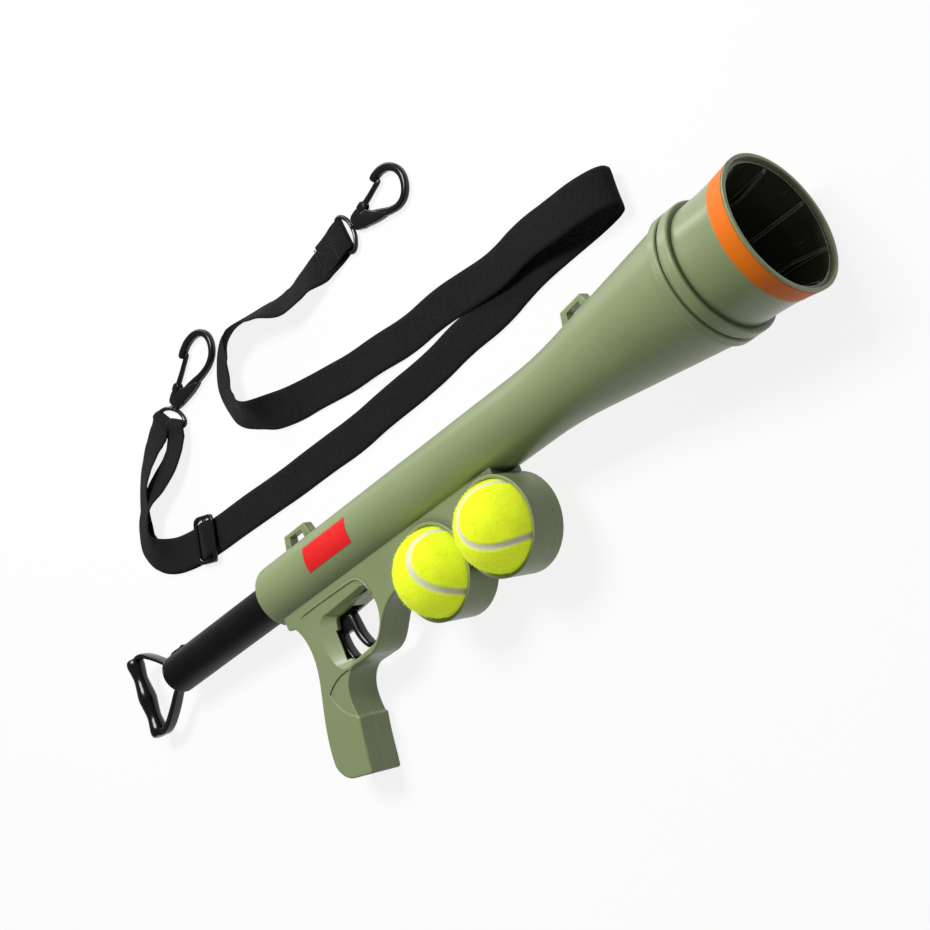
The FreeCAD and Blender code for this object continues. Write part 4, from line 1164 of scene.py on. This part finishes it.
class OBJECT_OT_launcher_slide(bpy.types.Operator):
    """Builds the three-bar slide adjuster"""

    bl_idname = "object.launcher_slide"
    bl_label = "Slide Adjuster"

    def execute(self, context):
        place = spot_frame(SLIDE_SPOT)
        line = []
        sections = []
        for su, sv, start in CORNERS:
            for k in range(SLIDE_CORNER_STEPS + 1):
                a = math.radians(start + 90 * k / SLIDE_CORNER_STEPS)
                u = su * (SLIDE_HALF_U - SLIDE_CORNER) + SLIDE_CORNER * math.cos(a)
                v = sv * (SLIDE_HALF_V - SLIDE_CORNER) + SLIDE_CORNER * math.sin(a)
                rail = eased(abs(math.cos(a)))
                line.append(place(u, v, 2.95 * (1 - rail) + 4.95 * rail))
                tall = 5.5 * (1 - rail) + 2.7 * rail
                wide = 3.4 * (1 - rail) + 4.6 * rail
                sections.append(rounded_section(tall * MM, wide * MM, 1.25 * MM, 4))
        rim = swept("frame", line, sections, UP, closed=True)
        middle = [place(0, v, 4.4) for v in SLIDE_BAR]
        bar = swept("bar", middle, rounded_section(1.9 * MM, 4.0 * MM, 0.9 * MM, 4), UP)
        slide = joined("slide_moulding", [rim, bar])
        dress(slide, MATERIALS["hook"], "launcher", "hook_plastic", "slide_adjuster")
        return {"FINISHED"}


# Strap. Each point is (x, y, z, tilt), from the foot of the launcher's axis. Tilt raises the webbing's
# left edge.

STRAP_LINE = [
    (187.5, 228.3, 1.0, 0), (176, 225.5, 0.9, 0), (158, 222, 0.9, 4), (135, 218.5, 5.5, 26),
    (112, 213, 8.5, 34), (88, 220.5, 12.6, 57), (61, 226.8, 13.9, 66), (22.6, 221.8, 7.4, 21),
    (11.2, 196.6, 6.4, 20), (15.4, 169, 8.6, 29), (35.5, 151, 11.4, 45), (72, 141, 3.2, 10),
    (112, 136.5, 0.8, 0), (146, 131, 0.8, 0), (180, 129.5, 0.8, 0), (215, 125, 0.8, 0),
    (250, 127.2, 1.2, 0), (285, 123.6, 2.4, 0), (318, 119.6, 5, 0), (352, 122.6, 10, 0),
    (386, 117.6, 16, 0), (415, 115, 20, 0), (436, 113, 17, 0), (439, 111.5, 9, 0), (434, 110, 2.2, 0),
    (412, 108, 0.8, 0), (372, 106.6, 0.8, 0), (336, 103.4, 0.8, 0), (302, 95.4, 0.8, 0),
    (266, 95.8, 0.8, 0), (225, 89.5, 0.8, 0), (170, 88.5, 0.8, 0), (130, 85.5, 0.8, 0), (95, 87, 0.8, 0),
    (40, 87, 0.8, 0), (-15, 89.5, 0.8, 0), (-60, 90, 0.8, 0), (-98, 92.5, 0.9, 0), (-130, 103, 3.2, -14),
    (-140, 118.5, 4.6, -16), (-138, 133, 5.6, -17), (-130.5, 150, 6.8, -23), (-124, 167, 7.6, -25),
    (-114, 181, 6.4, -22), (-101, 193.5, 4.8, -17), (-90, 201, 3.4, -11), (-82, 204.2, 4.6, -4),
    (-77.6, 207.4, 6.8, 0), (-73.8, 210.4, 5.4, 0), (-73, 211, 2.2, 0),
]
STRAP_FLIP = 23
RETURN_LINE = [
    (-58, 91.2, 2.6, 0), (-62.5, 91.3, 4.2, 0), (-67, 91.6, 6.6, 0), (-71, 91.8, 6.4, 0),
    (-75, 92, 3.6, 0), (-84, 92.6, 2.6, 0), (-108, 95.4, 3.4, -4), (-131, 106, 6.6, -15),
    (-140.5, 119, 8.2, -18), (-137, 137, 9.2, -21), (-121, 155.5, 9.4, -26), (-96, 163.4, 7, -20),
    (-79, 172.2, 5.6, -16), (-69.4, 183, 4.6, -12), (-65.2, 190, 4.8, -5), (-62, 195, 7.0, 0),
    (-59.4, 199, 5.6, 0), (-59, 199.6, 2.4, 0),
]
FOLD_LINE = [
    (158, 224.6, 2.9, 0), (166, 225.6, 3.2, 0), (175, 226.8, 4.2, 0), (182, 227.6, 6.0, 0),
    (188.2, 228.2, 6.6, 0), (192.3, 228.7, 5.2, 0), (193.0, 228.8, 3.0, 0), (190.5, 228.4, 1.0, 0),
    (184, 227.5, 0.85, 0), (176, 226.3, 0.85, 0),
]
FOLD_ACROSS = Vector((-0.14, 0.99, 0)).normalized()
FOLD_SHARE = 0.92

WEBBING_COLUMNS = 10

# The share of its width that the webbing loses at its far end, over a length in metres.
GATHER = 0.28
GATHER_LENGTH = 0.024

# The sewn box and its cross: where each row of stitches starts and ends along x and across the webbing.
STITCH_ROWS = (
    (156, 176, -11.5, -11.5), (156, 176, 11.5, 11.5), (156, 156, -11.5, 11.5), (176, 176, -11.5, 11.5),
    (156, 176, -11.5, 11.5), (156, 176, 11.5, -11.5),
)
STITCH_STEPS = 10


def spline_points(name, line):
    """A route's smooth line, read from its NURBS spline, and each point's place among the route's points."""
    curve = bpy.data.curves.new(name, "CURVE")
    curve.dimensions = "3D"
    curve.resolution_u = 24
    spline = curve.splines.new("NURBS")
    spline.points.add(len(line) - 1)
    for point, (x, y, z, _) in zip(spline.points, line):
        point.co = (*floor_point(x, y, z), 1)
    spline.order_u = 3
    spline.use_endpoint_u = True
    holder = bpy.data.objects.new(name, curve)
    bpy.context.scene.collection.objects.link(holder)
    bpy.context.view_layer.update()
    mesh = bpy.data.meshes.new_from_object(holder.evaluated_get(bpy.context.evaluated_depsgraph_get()))
    points = [v.co.copy() for v in mesh.vertices]
    bpy.data.objects.remove(holder)
    bpy.data.curves.remove(curve)
    bpy.data.meshes.remove(mesh)
    last = len(line) - 2
    knots = [0.0] + [i - 0.5 for i in range(1, last + 1)] + [float(last)]
    places = []
    for k in range(len(points)):
        at = last * k / (len(points) - 1)
        i = max(j for j in range(len(knots)) if knots[j] <= at + 1e-9)
        if i == len(knots) - 1:
            places.append(float(i))
        else:
            places.append(i + (at - knots[i]) / (knots[i + 1] - knots[i]))
    return points, places


def ribbon_sides(line, flip):
    """The webbing's across way at each of the route's points. It turns over at the flip point."""
    sides = []
    for i, (_, _, _, tilt) in enumerate(line):
        if flip is not None and abs(i - flip) <= 2:
            sides.append(Vector((0.04, 1, 0)).normalized())
            continue
        ahead = floor_point(*line[min(i + 1, len(line) - 1)][:3]) - floor_point(*line[max(i - 1, 0)][:3])
        ahead.z = 0
        ahead.normalize()
        left = Vector((-ahead.y, ahead.x, 0))
        turn = math.radians(tilt)
        if flip is not None and i > flip:
            left = -left
            turn = -turn
        sides.append(left * math.cos(turn) + UP * math.sin(turn))
    return sides


def runs_along(points):
    """Each point's distance along a line."""
    runs = [0.0]
    for a, b in zip(points, points[1:]):
        runs.append(runs[-1] + (b - a).length)
    return runs


def woven(name, verts, across, runs):
    """A webbing skin with its UV map, from its columns' places across and its rows' distances along."""
    columns = len(across)
    piece = new_piece(name, verts, skin_faces(len(runs), columns))
    layer = piece.data.uv_layers.new(name="weave")
    for loop in piece.data.loops:
        layer.data[loop.index].uv = (across[loop.vertex_index % columns], runs[loop.vertex_index // columns])
    return outward(piece, merge=False)


def ribbon(name, line, width, thick, flip=None):
    """Flat webbing on its spline, with rounded edges, loose waves and a gathered end, and its centre line."""
    points, places = spline_points(name + "_line", line)
    sides = ribbon_sides(line, flip)
    runs = runs_along(points)
    ways = [2 * c / WEBBING_COLUMNS - 1 for c in range(WEBBING_COLUMNS + 1)]
    top = [(u, 0.5 * (1 - 0.55 * abs(u) ** 8)) for u in ways]
    section = top + [(u, -v) for u, v in reversed(top)]
    verts = []
    centre_line = []
    for k, (centre, run) in enumerate(zip(points, runs)):
        i = min(int(places[k]), len(line) - 2)
        ahead = way_at(points, k)
        across = square_to(ahead, sides[i].lerp(sides[i + 1], eased(places[k] - i)))
        up = ahead.cross(across)
        wave = 0.0002 * math.sin(run * 95) + 0.00025 * math.sin(run * 41 + 1.3)
        half = width / 2 * (1 - GATHER * eased(max(0.0, 1 - (runs[-1] - run) / GATHER_LENGTH)))
        loop = []
        for u, v in section:
            edge = wave * u * (1 if u > 0 else 0.7)
            loop.append(centre + across * (u * half) + up * (v * thick + edge))
        lift = UP * max(0.0, -min(p.z for p in loop))
        verts += [p + lift for p in loop]
        centre_line.append(centre + lift)
    return woven(name, verts, [u * width / 2 for u, _ in section], runs), centre_line


def folded_end(name, line, width, thick):
    """Webbing that turns back over a bar."""
    points, _ = spline_points(name + "_line", line)
    section = rounded_section(width, thick, thick * 0.4, 2)
    verts = []
    for k, point in enumerate(points):
        up = way_at(points, k).cross(FOLD_ACROSS)
        verts += [point + FOLD_ACROSS * u + up * v for u, v in section]
    return woven(name, verts, [u for u, _ in section], runs_along(points))


def stitch_tree():
    """A row of sewn stitches along an edge line."""
    tree, given, out = new_group(
        "Stitch Row", "GeometryNodeTree",
        {"Geometry": "Geometry", "Pitch": 0.0028, "Stitch": 0.0022, "Thread": 0.0007, "Material": "Material"},
        {"Geometry": "Geometry"})
    curve = add(tree, "GeometryNodeMeshToCurve", {"Mesh": given["Geometry"]})[0]
    spaced = add(tree, "GeometryNodeResampleCurve", {"Curve": curve, "Length": given["Pitch"]},
                 mode="LENGTH")[0]
    tangent = add(tree, "GeometryNodeInputTangent", {})[0]
    stitches = planted(
        tree, spaced, add(tree, "GeometryNodeMeshIcoSphere", {"Radius": 0.5, "Subdivisions": 2})["Mesh"],
        add(tree, "FunctionNodeAlignRotationToVector", {"Vector": tangent}, axis="X")[0],
        vector(tree, X=given["Stitch"], Y=given["Thread"], Z=given["Thread"]))
    smooth = add(tree, "GeometryNodeSetShadeSmooth", {"Geometry": stitches})[0]
    finished(tree, out, smooth, given["Material"])
    return tree


def sew(name, rows):
    """Stitches along lines of points, as one piece on the webbing."""
    verts = []
    edges = []
    for row in rows:
        start = len(verts)
        verts += [tuple(p) for p in row]
        edges += [(start + k, start + k + 1) for k in range(len(row) - 1)]
    mesh = bpy.data.meshes.new(name)
    mesh.from_pydata(verts, edges, [])
    piece = placed(name, mesh)
    run_tree(piece, shared(stitch_tree), Material=MATERIALS["thread"])
    return dress(piece, MATERIALS["thread"], "launcher", "webbing")


class OBJECT_OT_launcher_strap(bpy.types.Operator):
    """Builds the webbing, its sewn fold at one end and its doubled return"""

    bl_idname = "object.launcher_strap"
    bl_label = "Strap"

    def execute(self, context):
        sizes = context.scene.launcher_sizes
        width, thick = sizes.webbing_width, sizes.webbing_thick
        long, path = ribbon("webbing_long", STRAP_LINE, width, thick, STRAP_FLIP)
        dress(long, MATERIALS["webbing"], "launcher", "webbing", "strap_webbing")
        back, back_path = ribbon("webbing_return", RETURN_LINE, width, thick)
        dress(back, MATERIALS["webbing"], "launcher", "webbing", "strap_return")
        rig.cord(long, exit=path[0], length=runs_along(path)[-1], diameter=width, far_end="fitting",
                stiffness="limp", lay="loose", path=path, with_pieces=["ring_a_moulding", "ring_b_moulding"])
        back_path = list(reversed(back_path))
        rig.cord(back, exit=back_path[0], length=runs_along(back_path)[-1], diameter=width, far_end="fitting",
                stiffness="limp", lay="loose", path=back_path, with_pieces=["slide_moulding"])
        fold = folded_end("webbing_fold_a", FOLD_LINE, width * FOLD_SHARE, thick)
        dress(fold, MATERIALS["webbing"], "launcher", "webbing")
        rows = []
        for start, end, low, high in STITCH_ROWS:
            row = []
            for k in range(STITCH_STEPS + 1):
                x = start + (end - start) * k / STITCH_STEPS
                v = low + (high - low) * k / STITCH_STEPS
                rise = 3.75 + max(0.0, x - 168) ** 2 * 0.022
                row.append(floor_point(x - 0.12 * v, 223.2 + 0.14 * (x - 150) + v, rise))
            rows.append(row)
        sew("fold_stitches", rows)
        return {"FINISHED"}


# Floor, lamps, world and camera

FLOOR_HALF = 12.0
FLOOR_DROP = 0.0004
FLOOR_TONE = 0.42
FLOOR_TONE_TO_CAMERA = 0.8
FLOOR_GLOW = 0.86
WORLD_LIGHT = 0.18

# Each lamp's place, the point it faces, its two sizes in metres and its power in watts.
LAMPS = {
    "key": ((0.0, 1.1, 1.75), (0, 0.05, 0.03), 1.0, 0.7, 44),
    "rim": ((-0.5, 1.7, 0.5), (0, 0.05, 0.03), 1.2, 0.4, 8),
    "fill": ((1.5, -1.2, 1.5), (0, 0, 0.03), 1.2, 0.9, 1.4),
}
LENS = 73.858
SENSOR_WIDTH = 36
CAMERA_PLACE = Vector((0.891500717, -0.37698194, 0.993667104))
CAMERA_RIGHT = Vector((0.641135213, -0.322584275, -0.696336861))
CAMERA_UP = Vector((0.455701816, 0.890103146, 0.007228115))


def build_floor():
    """A pale floor, white to the camera and in reflections, that takes soft shadows."""
    half, z = FLOOR_HALF, -FLOOR_DROP
    corners = [(-half, -half, z), (half, -half, z), (half, half, z), (-half, half, z)]
    floor = new_piece("floor", corners, [(0, 1, 2, 3)], smooth=False)
    material, tree, shader = start_material("Pale floor")
    seen = add(tree, "ShaderNodeLightPath", {})
    tone = mixed(tree, seen["Is Camera Ray"], (*grey(FLOOR_TONE), 1), (*grey(FLOOR_TONE_TO_CAMERA), 1))
    fill(tree, shader, {"Base Color": tone, "Roughness": 0.9, "Specular IOR Level": 0.0})
    rays = calc(tree, "MAXIMUM", seen["Is Camera Ray"], seen["Is Glossy Ray"])
    rays = calc(tree, "MAXIMUM", rays, seen["Is Transmission Ray"])
    blend = add(tree, "ShaderNodeMixShader", {
        0: calc(tree, "MULTIPLY", rays, FLOOR_GLOW), 1: shader.outputs[0],
        2: add(tree, "ShaderNodeEmission", {"Strength": 1.0})[0],
    })[0]
    surface = next(n for n in tree.nodes if n.type == "OUTPUT_MATERIAL")
    fill(tree, surface, {"Surface": blend})
    floor.data.materials.append(material)
    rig.stage(floor)


def build_world(scene):
    """A world that is white to the camera and lights the scene softly."""
    world = bpy.data.worlds.new("Studio")
    scene.world = world
    world.use_nodes = True
    tree = world.node_tree
    tree.nodes.clear()
    soft = add(tree, "ShaderNodeBackground", {"Color": (1, 1, 1, 1), "Strength": WORLD_LIGHT})[0]
    white = add(tree, "ShaderNodeBackground", {"Color": (1, 1, 1, 1), "Strength": 1.0})[0]
    seen = add(tree, "ShaderNodeLightPath", {})["Is Camera Ray"]
    blend = add(tree, "ShaderNodeMixShader", {0: seen, 1: soft, 2: white})[0]
    fill(tree, tree.nodes.new("ShaderNodeOutputWorld"), {"Surface": blend})


def build_lamp(scene, name, place, aim, size, size_y, power):
    """A rectangular lamp that faces a point."""
    light = bpy.data.lights.new(name, "AREA")
    light.shape = "RECTANGLE"
    light.size, light.size_y = size, size_y
    light.energy = power
    holder = bpy.data.objects.new(name, light)
    scene.collection.objects.link(holder)
    holder.location = place
    holder.rotation_euler = (Vector(aim) - Vector(place)).to_track_quat("-Z", "Y").to_euler()


def build_camera(scene):
    """The photograph's camera."""
    camera = bpy.data.cameras.new("camera")
    camera.lens = LENS
    camera.sensor_width = SENSOR_WIDTH
    camera.clip_start = 0.05
    camera.clip_end = 60
    holder = bpy.data.objects.new("camera", camera)
    scene.collection.objects.link(holder)
    columns = (CAMERA_RIGHT, CAMERA_UP, CAMERA_RIGHT.cross(CAMERA_UP), CAMERA_PLACE)
    holder.matrix_world = Matrix((*zip(*columns), (0, 0, 0, 1)))
    scene.camera = holder
    scene.view_settings.view_transform = "Standard"


class OBJECT_OT_launcher_stage(bpy.types.Operator):
    """Builds the floor, the lamps, the world and the camera"""

    bl_idname = "object.launcher_stage"
    bl_label = "Stage"

    def execute(self, context):
        build_floor()
        build_world(context.scene)
        for name, setting in LAMPS.items():
            build_lamp(context.scene, name, *setting)
        build_camera(context.scene)
        return {"FINISHED"}


class VIEW3D_PT_launcher(bpy.types.Panel):
    """Shows the launcher's colours, sizes and building steps"""

    bl_idname = "VIEW3D_PT_launcher"
    bl_label = "Ball Launcher"
    bl_space_type = "VIEW_3D"
    bl_region_type = "UI"
    bl_category = "Ball Launcher"

    def draw(self, context):
        for group in (context.scene.launcher_look, context.scene.launcher_sizes):
            for key in group.bl_rna.properties.keys():
                if key not in ("rna_type", "name"):
                    self.layout.prop(group, key)
        for operator in OPERATORS:
            self.layout.operator(operator.bl_idname)


OPERATORS = (
    OBJECT_OT_launcher_finishes,
    OBJECT_OT_launcher_handle,
    OBJECT_OT_launcher_trigger,
    OBJECT_OT_launcher_beads,
    OBJECT_OT_launcher_springs,
    OBJECT_OT_launcher_balls,
    OBJECT_OT_launcher_hooks,
    OBJECT_OT_launcher_rings,
    OBJECT_OT_launcher_slide,
    OBJECT_OT_launcher_strap,
    OBJECT_OT_launcher_stage,
)
CLASSES = (LauncherLook, LauncherSizes, *OPERATORS, VIEW3D_PT_launcher)


def register():
    for item in CLASSES:
        bpy.utils.register_class(item)
    bpy.types.Scene.launcher_look = bpy.props.PointerProperty(type=LauncherLook)
    bpy.types.Scene.launcher_sizes = bpy.props.PointerProperty(type=LauncherSizes)


def unregister():
    del bpy.types.Scene.launcher_sizes
    del bpy.types.Scene.launcher_look
    for item in reversed(CLASSES):
        bpy.utils.unregister_class(item)


def main():
    register()
    bpy.ops.object.launcher_finishes()
    bpy.ops.object.launcher_handle()
    bpy.ops.object.launcher_trigger()
    bpy.ops.object.launcher_beads()
    bpy.ops.object.launcher_springs()
    bpy.ops.object.launcher_balls()
    bpy.ops.object.launcher_hooks()
    bpy.ops.object.launcher_rings()
    bpy.ops.object.launcher_slide()
    bpy.ops.object.launcher_strap()
    bpy.ops.object.launcher_stage()
    boxes = {
        "cad": [list(corner) for corner in CAD_BOX],
        "visual": [list(corner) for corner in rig.bounds()],
    }
    with open("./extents.json", "w") as out:
        json.dump(boxes, out)


if __name__ == "__main__":
    main()
